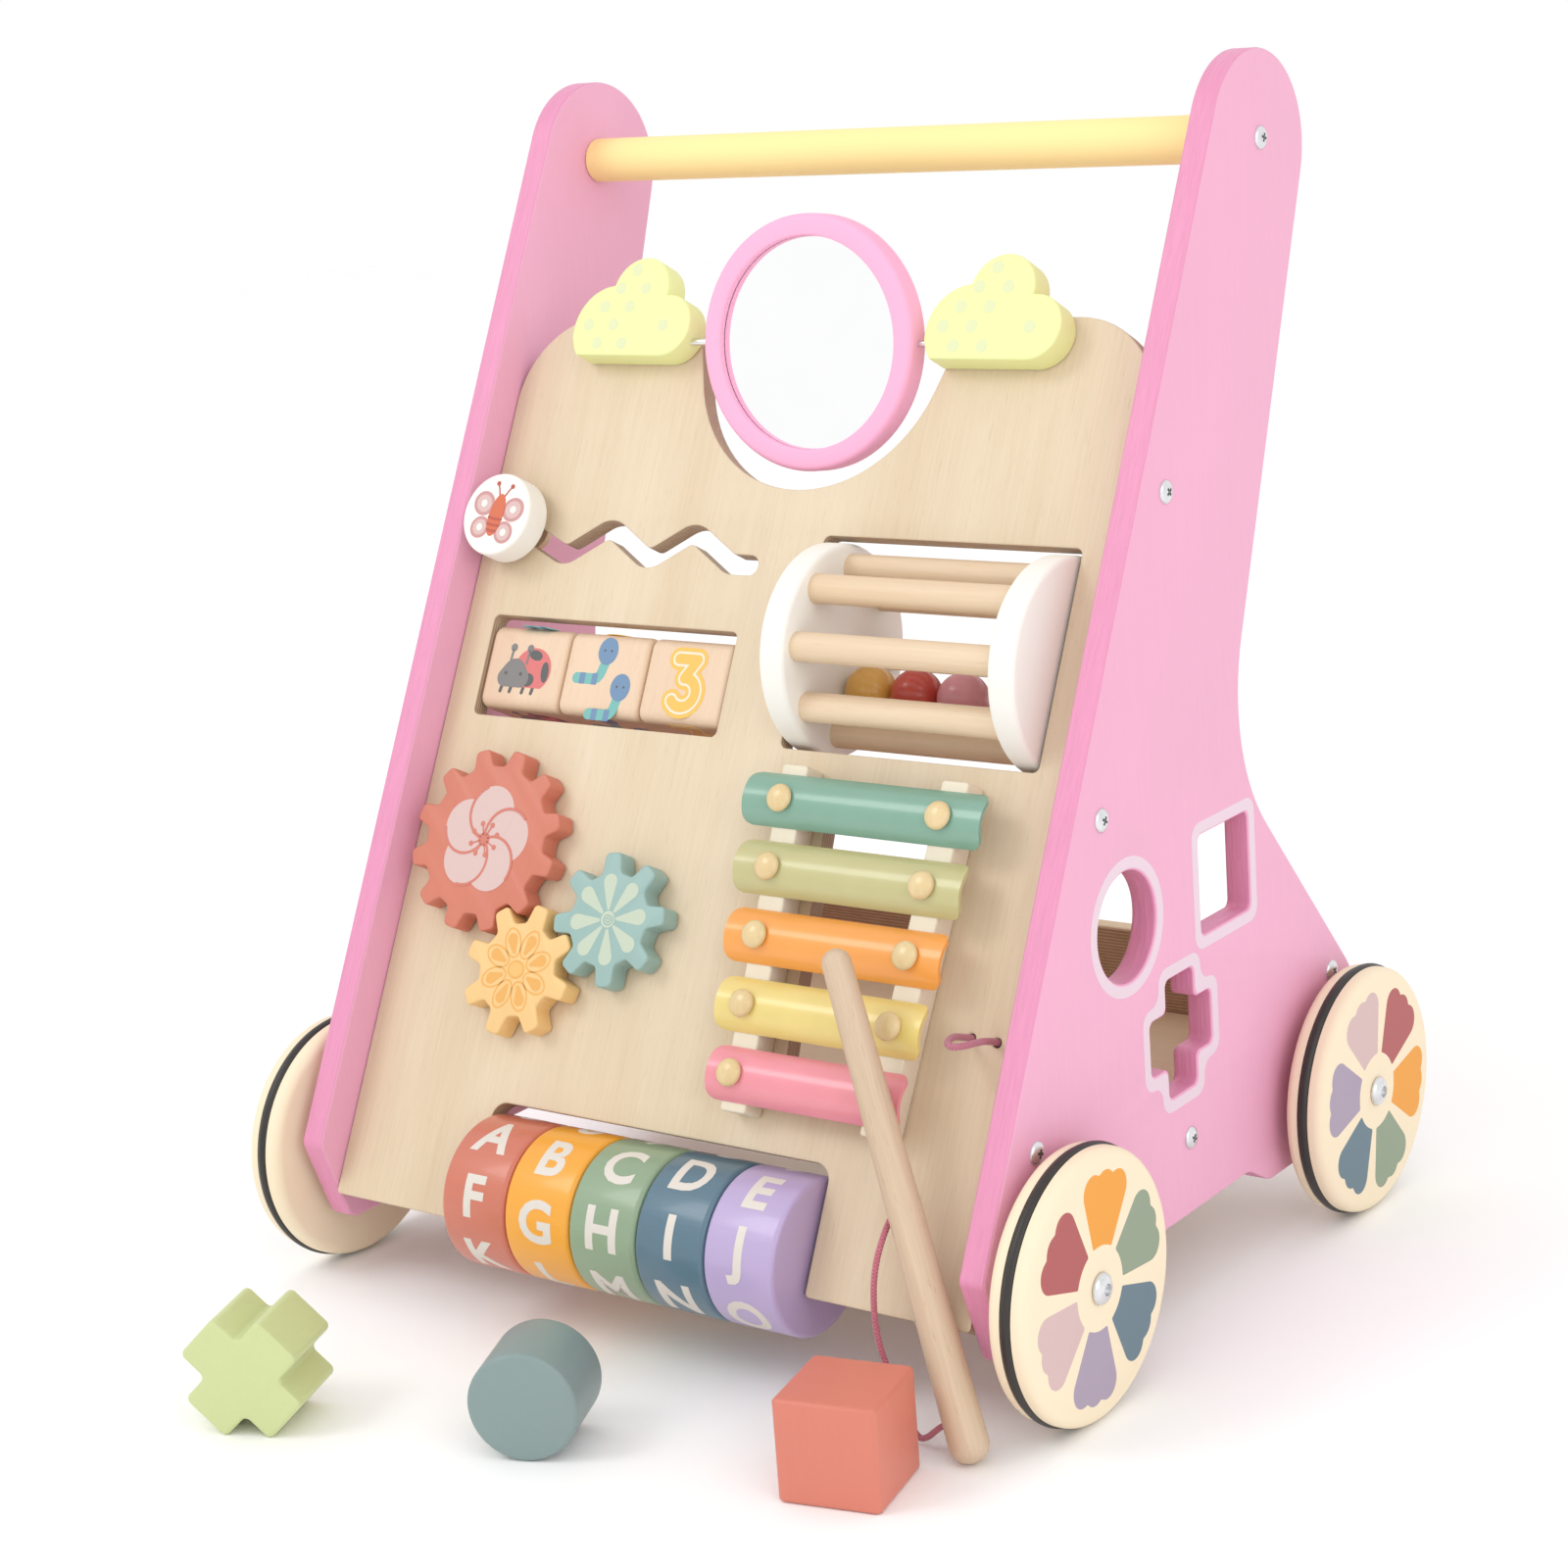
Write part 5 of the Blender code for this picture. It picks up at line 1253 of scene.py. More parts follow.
@dataclass
class MirrorSet:
    """The swivelling mirror between two dotted clouds."""

    across: float = -1.5
    up: float = 377.0
    out: float = 6.6
    tilt: float = 20.457
    ring: float = 52.2
    opening: float = 43.3
    thick: float = 12.0
    glass: float = 45.8
    seat: float = 46.1
    clouds: tuple[float, float] = (-93.5, 87.5)
    cloud_up: float = 368.6
    cloud_thick: float = 12.5
    dot_colour: Colour = rgb(236, 242, 190)
    dot_radius: float = 2.7
    dot_grid: Point = (13.4, 8.2)
    lobes: tuple[tuple[float, float, float], ...] = ((-12.0, 12.2, 19.2), (1.0, 29.0, 14.8),
                                                     (17.5, 13.6, 13.6),
                                                    (-20.8, 10.4, 10.4))

    def cloud(self) -> Outline:
        """Lobes over a flat lower side, as the farthest reach in each direction."""
        count, middle = 256, 15.0
        right, left = self.lobes[2][0], self.lobes[3][0]
        points: Outline = []
        for k in range(count):
            dx, dy = cos(2 * pi * k / count), sin(2 * pi * k / count)
            floor = middle / -dy if dy < 0 else 1e9
            reach = floor if dy < 0 and left < dx * floor < right else 0.0
            for x, y, radius in self.lobes:
                along = x * dx + (y - middle) * dy
                inside = radius ** 2 - (x * x + (y - middle) ** 2 - along ** 2)
                if inside > 0:
                    reach = max(reach, min(along + sqrt(inside), floor))
            points.append((reach * dx, middle + reach * dy))
        low = [abs(y) < 0.01 for _, y in points]
        return [p for k, p in enumerate(points) if not (low[k - 1] and low[k] and low[(k + 1) % count])]

    def dots(self) -> list[Vector]:
        """A staggered grid of spots well inside the cloud."""
        spots = []
        across, up = self.dot_grid
        for row in range(5):
            for column in range(-3, 4):
                x, y = (column + (0.5 if row % 2 else 0.0)) * across - 3.0, 5.4 + row * up
                if any(hypot(x - a, y - b) < r - self.dot_radius - 0.8 for a, b, r in self.lobes):
                    spots.append(Vector((x, y, 0.0)))
        return spots

    def build(self, bench: Bench) -> None:
        """Makes the clouds, their dots, the pins, the ring and the mirror."""
        scatter = Scatter("cloud_dots")
        dot = plate(circle((0, 0), self.dot_radius, 28), -0.2, 0.05, edge=0.0)
        for side, across in zip(("left", "right"), self.clouds):
            place = bench.panel @ at(across, self.cloud_up)
            bench.piece(f"{side}_cloud_wood", plate(self.cloud(), 0.3, 0.3 + self.cloud_thick, edge=0.9),
                        Finish.CLOUD, ROOT, place, [f"{side}_cloud"], "cloud_paint")
            spots = scatter.spread(f"{side}_cloud_dots", self.dots(), dot, Finish.INK,
                                   place @ at(z=0.3 + self.cloud_thick))
            tint(spots.data, self.dot_colour)
            bench.settle(spots, Finish.INK, ROOT)
            low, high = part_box(f"{side}_mirror_pin")
            pin = disc(1.5, low[0] / MM, high[0] / MM, 0.2, 24)
            bench.piece(f"{side}_swivel_pin", pin, Finish.STEEL, ROOT,
                        bench.panel @ at(0, self.up, self.out) @ ALONG_X,
                        [f"{side}_mirror_pin"], "steel")
        place = bench.panel @ at(self.across, self.up, self.out,
                                 Matrix.Rotation(radians(self.tilt), 4, "X"))
        half, edge = self.thick / 2, 2.6
        outer = rim(self.ring, -half, half, edge, 6)
        soft = 1.0
        inner = [(self.opening + soft - soft * sin(a),
                  half - soft + soft * cos(a)) for a in (0, pi / 6, pi / 3, pi / 2)]
        section = ([(self.opening + soft, -half), *outer, *inner, (self.opening, 3.0), (self.seat, 3.0),
                    (self.seat, -3.0),
                    (self.opening, -3.0), (self.opening, -half + soft)])
        bench.piece("mirror_wood_ring", turned(section, 160, closed=True), Finish.RING_PINK, "mirror_frame",
                    place,
                    ["mirror_ring"], "ring_paint")
        bench.piece("mirror_disc", disc(self.glass, -2.7, 2.7, 0.3, 128), Finish.SILVER, "mirror_frame",
                    place,
                    ["mirror"], "mirror")


def tint(mesh: bpy.types.Mesh, colour: Colour) -> None:
    """Gives every corner of a mesh one ink colour."""
    layer = mesh.color_attributes.get("paint") or mesh.color_attributes.new("paint", "FLOAT_COLOR", "CORNER")
    layer.data.foreach_set("color", [*colour, 1.0] * len(layer.data))


@dataclass
class SliderKnob:
    """The round knob on its stem, with a butterfly printed on it."""

    place: Point = (-140.0, 295.0)
    radius: float = 18.2
    low: float = 5.0
    high: float = 18.0
    wing: Colour = rgb(216, 158, 156)
    wing_pale: Colour = rgb(232, 196, 192)
    body: Colour = rgb(226, 114, 76)
    dark: Colour = rgb(196, 88, 70)
    white: Colour = rgb(252, 248, 242)
    art_size: float = 1.28

    def build(self, bench: Bench) -> None:
        """Makes the knob, the stem and the print."""
        place = bench.panel @ at(*self.place)
        profile = [(0, self.high - 3.4), (4.1, self.high - 3.4), (4.1, self.low),
                   *rim(self.radius, self.low, self.high,
                                                                                  1.5, 6), (0, self.high)]
        bench.piece("round_knob", turned(profile, 96), Finish.WHITE, "slider_knob_body", place,
                    ["slider_knob"],
                    "white_paint")
        stem = [(0, -12.5), (7, -12.5), (7, -9.5), (3.6, -9.5), (3.6, 0.3), (7, 0.3), (7, 4.7), (3.6, 4.7),
                (3.6, 14.0), (0, 14.0)]
        bench.piece("knob_stem", turned(stem, 40), Finish.BLOCK, "slider_stem_body", place, ["slider_stem"],
                    "beech")
        art = Stencil()
        for sign in (-1, 1):
            for x, y, wide, tall, turn in ((6.6, 3.0, 4.6, 4.2, 18.0), (5.4, -5.2, 4.0, 3.8, -24.0)):
                layer = 0 if y > 0 else 1
                art.ink(ellipse((sign * x, y), wide, tall, sign * turn), self.wing, layer=layer)
                art.ink(ellipse((sign * x, y), wide * 0.72, tall * 0.72, sign * turn), self.wing_pale,
                        layer=layer + 2)
                art.ink(circle((sign * x, y), 1.3, 20), self.white, layer=5)
            art.ink(stroke([(sign * 1.0, 6.5), (sign * 2.2, 9.0), (sign * 3.0, 10.2)], 0.45), self.dark,
                    layer=5)
            art.ink(circle((sign * 3.2, 10.6), 0.8, 16), self.dark, layer=6)
        art.ink(ellipse((0, 0.0), 3.0, 7.4), self.body, layer=6)
        for y, half in ((-1.2, 2.7), (-3.4, 2.4), (-5.4, 1.7)):
            art.ink(stroke([(-half, y), (0, y - 0.25), (half, y)], 0.9), self.dark, layer=7)
        bench.piece("butterfly_print", art.sheet, Finish.INK, "slider_knob_body",
                    place @ at(0.4, -0.6, self.high,
                               Matrix.Rotation(radians(-8), 4, "Z") @ grown(self.art_size)))


@dataclass
class PictureBlocks:
    """Three turning blocks with a beetle, two caterpillars and a numeral, on a steel rod."""

    middle: Point = (-78.3, 233.1)
    out: float = -19.0
    section: float = 36.0
    length: float = 42.3
    space: float = 0.9
    grey: Colour = rgb(138, 136, 134)
    coral: Colour = rgb(232, 126, 124)
    soot: Colour = rgb(96, 98, 98)
    blue: Colour = rgb(118, 152, 188)
    teal: Colour = rgb(126, 196, 190)
    yellow: Colour = rgb(255, 204, 96)
    cream: Colour = rgb(255, 244, 222)
    art_size: float = 1.14

    def beetle(self) -> Stencil:
        """A spotted beetle seen from the side."""
        art = Stencil()
        for x in (-9.0, -4.5, 1.5, 6.0):
            art.ink(stroke([(x, -7.5), (x - 0.4, -9.6)], 1.5), self.soot, layer=0)
        shell = [(3.9 + 9.0 * cos(a),
                  -0.8 + 8.6 * sin(a)) for a in (radians(284 * k / 40 - 52) for k in range(41))]
        art.ink(shell, self.coral, layer=1)
        for x, y, wide, tall, turn in ((4.4, 5.0, 3.2, 1.9, -12.0), (10.2, -1.2, 1.8, 4.0, 6.0),
                                       (2.6, -4.6, 3.0, 2.6, 0.0)):
            art.ink(ellipse((x, y), wide, tall, turn), self.soot, layer=2)
        head = belt(((-8.4, -4.2, 3.6), (-0.6, -4.2, 3.6), (-4.6, -2.4, 5.6)))
        art.ink(head, self.grey, layer=3)
        for x in (-7.4, 0.6):
            art.ink(stroke([(x, 1.6), (x + 0.4, 6.4)], 0.9), self.grey, layer=4)
            art.ink(circle((x + 0.5, 7.4), 1.5, 20), self.grey, layer=4)
        for x in (-8.4, -1.2):
            art.ink(circle((x, -2.6), 0.7, 16), self.soot, layer=5)
        return art

    def caterpillars(self) -> Stencil:
        """Two banded caterpillars with oval heads."""
        art = Stencil()
        for dx, dy in ((-3.0, 7.6), (6.0, -5.6)):
            path = rounded(((dx - 9.0, dy - 9.6), (dx + 1.2, dy - 9.6), (dx + 3.2, dy - 2.0)), 3.6, 8,
                           closed=False)
            art.ink(stroke(path, 4.2), self.teal, layer=0)
            for x in (dx - 6.4, dx - 0.6):
                art.ink(box_outline(x - 1.3, dy - 11.75, x + 1.3, dy - 7.45, 0.4), self.blue, layer=1)
            art.ink(ellipse((dx + 3.2, dy + 1.2), 4.5, 5.2), self.blue, layer=2)
            for x in (1.6, 4.8):
                art.ink(circle((dx + x, dy + 1.4), 0.5, 12), self.soot, layer=3)
        return art

    def numeral(self) -> Stencil:
        """A rounded figure three with a pale line inside its edge."""
        art = Stencil()
        low = [(0.2 + 5.6 * cos(a), -4.2 + 5.4 * sin(a)) for a in (radians(96 - 12 * k) for k in range(21))]
        for layer, (width, colour) in enumerate(((8.6, self.yellow), (5.6, self.cream),
                                                 (3.8, self.yellow))):
            for step, path in enumerate(([(-4.4, 8.2), (4.2, 8.2)], [(4.2, 8.2), (-0.4, 1.2)], low)):
                art.ink(stroke(path, width), colour, layer=3 * layer + step)
        return art

    def build(self, bench: Bench) -> None:
        """Makes the blocks, their pictures and the rod."""
        half = self.section / 2
        bore = circle((0, 0), 3.0, 24)
        block = plate(box_outline(-half, -half, half, half, 5.0), -self.length / 2, self.length / 2, [bore],
                      2.4, 5)
        pictures: tuple[Callable[[], Stencil], ...] = (self.beetle, self.caterpillars, self.numeral)
        for k, picture in enumerate(pictures):
            x = self.middle[0] + (k - 1) * (self.length + self.space)
            body = f"picture_block_{k + 1}_body"
            spot = bench.panel @ at(x, self.middle[1], self.out)
            bench.piece(f"block_{k + 1}_wood", block, Finish.BLOCK, body, spot @ ALONG_X,
                        [f"picture_block_{k + 1}"],
                        "beech")
            for face in range(4):
                art = pictures[(k + face) % 3]() if face else picture()
                turn = Matrix.Rotation(-pi / 2 * face, 4, "X")
                bench.piece(f"block_{k + 1}_picture_{face + 1}", art.sheet, Finish.INK, body,
                            spot @ turn @ at(z=half, turn=grown(self.art_size)))
        low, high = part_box("block_rod")
        bench.piece("block_axle", disc(2.5, low[0] / MM, high[0] / MM, 0.4, 32), Finish.STEEL, ROOT,
                    bench.panel @ at(0, self.middle[1], self.out) @ ALONG_X, ["block_rod"], "steel")


@dataclass
class Drum:
    """The rattle: two white discs, eight dowels, three loose balls and two pins."""

    middle: Point = (80.1, 253.6)
    out: float = -11.8
    radius: float = 43.0
    length: float = 118.0
    disc_thick: float = 12.0
    dowels: int = 8
    dowel_radius: float = 6.0
    dowel_circle: float = 33.1
    phase: float = 12.4
    ball_radius: float = 10.6

    def build(self, bench: Bench) -> None:
        """Makes the drum and what is in it."""
        place = bench.panel @ at(*self.middle, self.out) @ ALONG_X
        half, seat = self.length / 2, self.length / 2 - self.disc_thick
        left = disc(self.radius, -half, -seat, 2.2, 128, bore=2.9)
        right = disc(self.radius, seat, half, 2.2, 128, bore=2.9)
        bench.piece("drum_left_disc", left, Finish.WHITE, "rattle_drum", place, ["rattle_left_disc"],
                    "white_paint")
        bench.piece("drum_right_disc", right, Finish.WHITE, "rattle_drum", place, ["rattle_right_disc"],
                    "white_paint")
        angles = [radians(self.phase) + 2 * pi * k / self.dowels for k in range(self.dowels)]
        spots = [Vector((self.dowel_circle * cos(a), self.dowel_circle * sin(a), 0.0)) for a in angles]
        dowel = disc(self.dowel_radius, -seat - 3.0, seat + 3.0, 0.3, 36)
        rods = Scatter("drum_dowels").spread("drum_dowels", spots, dowel, Finish.DOWEL, place)
        outwards(rods.data)
        bench.settle(rods, Finish.DOWEL, "rattle_drum")
        for k in range(3):
            low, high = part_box(f"rattle_ball_{k + 1}")
            centre = [(a + b) / 2 / MM for a, b in zip(low, high)]
            bench.piece(f"loose_ball_{k + 1}", ball(self.ball_radius), Finish[f"BALL_{k + 1}"],
                        f"rattle_ball_{k + 1}_body", at(*centre), [f"rattle_ball_{k + 1}"], f"ball_paint_{k + 1}")
        for side in ("left", "right"):
            low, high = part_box(f"{side}_rattle_pin")
            bench.piece(f"{side}_drum_pin", disc(2.4, low[0] / MM, high[0] / MM, 0.3, 24), Finish.STEEL,
                        ROOT,
                        bench.panel @ at(0, self.middle[1],
                                         self.out) @ ALONG_X, [f"{side}_rattle_pin"], "steel")


@dataclass
class Chimes:
    """Five arched enamel bars on two rails with domed pegs."""

    across: float = 75.3
    top_up: float = 186.0
    pitch: float = 27.15
    lengths: tuple[float, ...] = (110.5, 105.3, 100.1, 94.9, 89.7)
    width: float = 21.5
    rise: float = 5.6
    wall: float = 1.8
    corner: float = 3.6
    rail_out: float = 12.0
    rail_width: float = 12.2
    rail_top: float = 201.0
    rail_foot: float = 63.0
    spread: Point = (37.4, 32.8)

    def rail_spread(self, up: float) -> float:
        """Half the distance between the rails at a height."""
        top, foot = self.spread
        return foot + (top - foot) * (up - self.rail_foot) / (self.rail_top - self.rail_foot)

    def ups(self) -> list[float]:
        """The bars' heights, from the top."""
        return [self.top_up - k * self.pitch for k in range(len(self.lengths))]

    def bar(self, length: float) -> Solid:
        """A bent bar with rounded corners, as two skins joined round their edge."""
        half, rise = self.width / 2, self.rise
        radius = (half * half + rise * rise) / (2 * rise)
        reach = asin(half / radius)
        across, along = 22, 10
        solid = Solid()
        skins: list[list[list[int]]] = []
        for skin_radius in (radius, radius - self.wall):
            skin = []
            for i in range(across + 1):
                angle = -reach + 2 * reach * i / across
                side = half - abs(radius * sin(angle))
                inward = max(0.0, self.corner - side)
                cut = self.corner - sqrt(max(0.0, self.corner ** 2 - inward ** 2))
                row = []
                for j in range(along + 1):
                    x = (length / 2 - cut) * (-1 + 2 * j / along)
                    row.append(len(solid.points))
                    solid.points.append(Vector((skin_radius * sin(angle),
                                                skin_radius * cos(angle) - radius + rise, x)))
                skin.append(row)
            skins.append(skin)
        for skin in skins:
            for i in range(across):
                for j in range(along):
                    solid.faces.append([skin[i][j], skin[i + 1][j], skin[i + 1][j + 1], skin[i][j + 1]])
        outer, inner = skins
        border = ([(i, 0) for i in range(across)] + [(across, j) for j in range(along)]
                  + [(i, along) for i in range(across, 0, -1)] + [(0, j) for j in range(along, 0, -1)])
        for k, (i, j) in enumerate(border):
            m, n = border[(k + 1) % len(border)]
            solid.faces.append([outer[i][j], outer[m][n], inner[m][n], inner[i][j]])
        return solid

    def build(self, bench: Bench) -> None:
        """Makes the bars, the rails and the pegs."""
        crown = self.rail_out + 0.3 + self.rise
        head = [(0, crown - 2.0), (2.2, crown - 2.0), (2.2, crown + 0.3)]
        head += [(5.0, crown + 0.3), (5.6, crown + 0.9)]
        head += [(5.6 * cos(a), crown + 0.9 + 2.9 * sin(a)) for a in (pi / 2 * k / 8 for k in range(1, 8))]
        peg = turned([*head, (0, crown + 3.8)], 40)
        scatter = Scatter("chime_pegs")
        for k, (up, length) in enumerate(zip(self.ups(), self.lengths)):
            bench.piece(f"bar_{k + 1}", self.bar(length), Finish[f"BAR_{k + 1}"], ROOT,
                        bench.panel @ at(self.across, up,
                                         self.rail_out + 0.3) @ ALONG_X, [f"chime_bar_{k + 1}"],
                        f"bar_paint_{k + 1}", sharp=50.0)
        for side, sign in (("left", -1), ("right", 1)):
            half = self.rail_width / 2
            corners = [(self.across + sign * self.rail_spread(up) + edge, up) for up, edge in
                       ((self.rail_foot, -half), (self.rail_foot, half), (self.rail_top, half),
                        (self.rail_top, -half))]
            bench.piece(f"{side}_rail_wood", plate(rounded(corners, 1.6), 0.3, self.rail_out, edge=0.9),
                        Finish.RAIL,
                        ROOT, bench.panel, [f"{side}_chime_rail"], "beech")
            spots = [Vector((self.across + sign * self.rail_spread(up), up, 0.0)) for up in self.ups()]
            pegs = scatter.spread(f"{side}_peg_heads", spots, peg, Finish.PEG, bench.panel)
            outwards(pegs.data)
            bench.settle(pegs, Finish.PEG, ROOT)


@dataclass
class Gears:
    """Three meshing gears with flowers printed on them."""

    module: float = 6.1
    thick: float = 10.0
    out: float = 0.6
    yellow_at: Point = (-80.0, 104.3)
    to_red: float = 122.0
    to_blue: float = 32.0
    petal_pink: Colour = rgb(231, 200, 194)
    red: Colour = rgb(221, 130, 112)
    pale_green: Colour = rgb(208, 220, 198)
    blue: Colour = rgb(150, 184, 180)
    orange: Colour = rgb(247, 184, 96)
    pale_orange: Colour = rgb(252, 200, 118)

    def outline(self, teeth: int, tip: float, root: float) -> Outline:
        """Chunky teeth with rounded tips and roots, the first at angle 0."""
        step = pi / teeth
        corners: Outline = []
        for k in range(teeth):
            middle = 2 * step * k
            for radius, share in ((root, -0.62), (tip, -0.34), (tip, 0.34), (root, 0.62)):
                corners.append((radius * cos(middle + share * step), radius * sin(middle + share * step)))
        return rounded(corners, 2.2, 6)

    def pinwheel(self) -> Stencil:
        """Five overlapping petals with a line round each, and stamens."""
        art = Stencil()
        size = 11.6
        for k in range(5):
            turn = 12.0 + 72.0 * k
            art.ink(placed(circle((size, 0), size, 72), turn=turn), self.petal_pink, layer=k)
        for k in range(5):
            turn = 12.0 + 72.0 * k
            arc = [(size - size * cos(a), size * sin(a)) for a in (pi * 0.82 * j / 24 for j in range(25))]
            art.ink(placed(stroke(arc, 1.15), turn=turn), self.red, layer=6)
        art.ink(circle((0, 0), 3.0, 32), self.red, layer=7)
        for k in range(8):
            turn = 45.0 * k + 20.0
            art.ink(placed(stroke([(2.0, 0), (6.4, 0)], 0.6), turn=turn), self.red, layer=7)
            art.ink(placed(circle((6.9, 0), 1.1, 16), turn=turn), self.red, layer=8)
        return art

    def daisy(self) -> Stencil:
        """Eight drop-shaped petals round a spiral."""
        art = Stencil()
        for k in range(8):
            art.ink(placed(belt(((4.6, 0, 0.7), (15.6, 0, 3.3)), 8.0), turn=45.0 * k + 10.0),
                    self.pale_green, layer=0)
        art.ink(circle((0, 0), 3.5, 32), self.pale_green, layer=1)
        turns = [(0.35 + 2.3 * t) for t in (j / 40 for j in range(41))]
        spiral = [(r * cos(4.2 * pi * j / 40), r * sin(4.2 * pi * j / 40)) for j, r in enumerate(turns)]
        art.ink(stroke(spiral, 0.45, 4), self.blue, layer=2)
        return art

    def rosette(self) -> Stencil:
        """Eight ringed petals round an oval."""
        art = Stencil()
        for k in range(8):
            turn = 45.0 * k + 22.5
            outer = placed(ellipse((11.6, 0), 6.6, 4.35), turn=turn)
            art.ink(outer, self.orange, [inset(outer, 0.8)], layer=0)
            art.ink(placed(belt(((7.6, 0, 0.8), (13.2, 0, 2.5)), 6.0), turn=turn), self.orange, layer=1)
        art.ink(ellipse((0, 0), 4.4, 3.9), self.orange, layer=2)
        art.ink(ellipse((0, 0), 3.5, 3.0), self.pale_orange, layer=3)
        return art

    def build(self, bench: Bench) -> None:
        """Makes the gears in mesh, their pins and their flowers."""
        big, small = self.module * 6, self.module * 4
        big_tip, small_tip = big + 2.8, small + 3.7
        x, y = self.yellow_at
        red, blue = radians(self.to_red), radians(self.to_blue)
        gap = 1.0
        plan = (
            ("red", 12, big_tip, big + small - small_tip - gap, self.pinwheel, Finish.GEAR_RED,
             x + (big + small) * cos(red), y + (big + small) * sin(red), red + pi / 12),
            ("yellow", 8, small_tip, 2 * small - small_tip - gap, self.rosette, Finish.GEAR_YELLOW, x, y,
             red),
            ("blue", 8, small_tip, 2 * small - small_tip - gap, self.daisy, Finish.GEAR_BLUE,
             x + 2 * small * cos(blue), y + 2 * small * sin(blue), blue + pi / 8))
        pin = [(0, -12.6), (7, -12.6), (7, -9.6), (4, -9.6), (4, 3.0), (0, 3.0)]
        for colour, teeth, tip, root, flower, finish, across, up, first in plan:
            body = f"{colour}_gear_body"
            spot = bench.panel @ at(across, up)
            solid = plate(self.outline(teeth, tip, root), self.out, self.out + self.thick, edge=0.9)
            bench.piece(f"{colour}_gear_wood", solid, finish, body, spot @ Matrix.Rotation(first, 4, "Z"),
                        [f"{colour}_gear"], f"{colour}_gear_paint", sharp=45.0)
            bench.piece(f"{colour}_gear_axle", turned(pin, 32), Finish.BLOCK, body, spot)
            bench.piece(f"{colour}_gear_flower", flower().sheet, Finish.INK, body,
                        spot @ at(z=self.out + self.thick))


@dataclass
class Rollers:
    """Five painted rollers with raised letters and numerals, on a rod."""

    radius: float = 31.0
    pitch: float = 33.2
    up: float = 15.5
    out: float = -8.0
    bore: float = 4.5
    height: float = 17.4
    rows: tuple[str, ...] = ("ABCDE", "FGHIJ", "KLMNO", "PQRST", "UVWXY", "Z1234", "56789")
    first: tuple[float, ...] = (70.0, 61.0, 66.0, 71.0, 68.0)
    ink: Colour = rgb(240, 232, 222)

    def letter(self, sign: str) -> Solid:
        """A flat letter, thin and closed, bent later; its middle is at the origin."""
        curve = bpy.data.curves.new("letter", "FONT")
        curve.body, curve.align_x, curve.size = sign, "CENTER", self.height / 0.73 * MM
        curve.extrude, curve.offset, curve.resolution_u = 0.1 * MM, 0.72 * MM, 4
        thing = bpy.data.objects.new("letter", curve)
        bpy.context.collection.objects.link(thing)
        bpy.context.view_layer.update()
        graph = bpy.context.evaluated_depsgraph_get()
        mesh = bpy.data.meshes.new_from_object(thing.evaluated_get(graph), depsgraph=graph)
        bpy.data.objects.remove(thing, do_unlink=True)
        work = bmesh.new()
        work.from_mesh(mesh)
        bmesh.ops.remove_doubles(work, verts=work.verts, dist=1e-6)
        step = 1.4 * MM
        for k in range(-2, 16):
            bmesh.ops.bisect_plane(work, geom=work.verts[:] + work.edges[:] + work.faces[:],
                                   plane_co=(0, k * step, 0), plane_no=(0, 1, 0))
        bmesh.ops.triangulate(work, faces=work.faces[:])
        high = max(v.co.y for v in work.verts)
        low = min(v.co.y for v in work.verts)
        solid = Solid()
        work.verts.index_update()
        solid.points = [Vector((v.co.x, v.co.y - (high + low) / 2, v.co.z)) / MM for v in work.verts]
        solid.faces = [[v.index for v in face.verts] for face in work.faces]
        solid.flat = set(range(len(solid.faces)))
        work.free()
        bpy.data.meshes.remove(mesh)
        return solid.painted(self.ink)

    def build(self, bench: Bench) -> None:
        """Makes the rollers, wraps their letters round them and adds the rod."""
        half = (self.pitch - 0.3) / 2
        shape = disc(self.radius, -half, half, 2.2, 128, bore=self.bore)
        centre = bench.walker.inverted() @ (bench.panel @ Vector((0, self.up, self.out)))
        axis = bench.walker @ Matrix.Translation(centre)
        for k in range(5):
            x = (k - 2) * self.pitch
            body = f"letter_roller_{k + 1}_body"
            bench.piece(f"roller_{k + 1}_wood", shape, Finish[f"ROLLER_{k + 1}"], body,
                        axis @ at(x) @ ALONG_X,
                        [f"letter_roller_{k + 1}"], f"roller_paint_{k + 1}")
            wrapped = Solid()
            for row, signs in enumerate(self.rows):
                letter = self.letter(signs[k])
                for point in letter.points:
                    bearing = radians(self.first[k] - 360.0 / len(self.rows) * row) + point.y / self.radius
                    reach = self.radius + point.z * 0.9
                    point.y, point.z = -reach * cos(bearing), reach * sin(bearing)
                wrapped.add(letter)
            bench.piece(f"roller_{k + 1}_letters", wrapped, Finish.INK, body, axis @ at(x), sharp=30.0)
        low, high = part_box("roller_rod")
        bench.piece("roller_axle", disc(4.0, low[0] / MM, high[0] / MM, 0.4, 32), Finish.STEEL, ROOT,
                    axis @ ALONG_X,
                    ["roller_rod"], "steel")


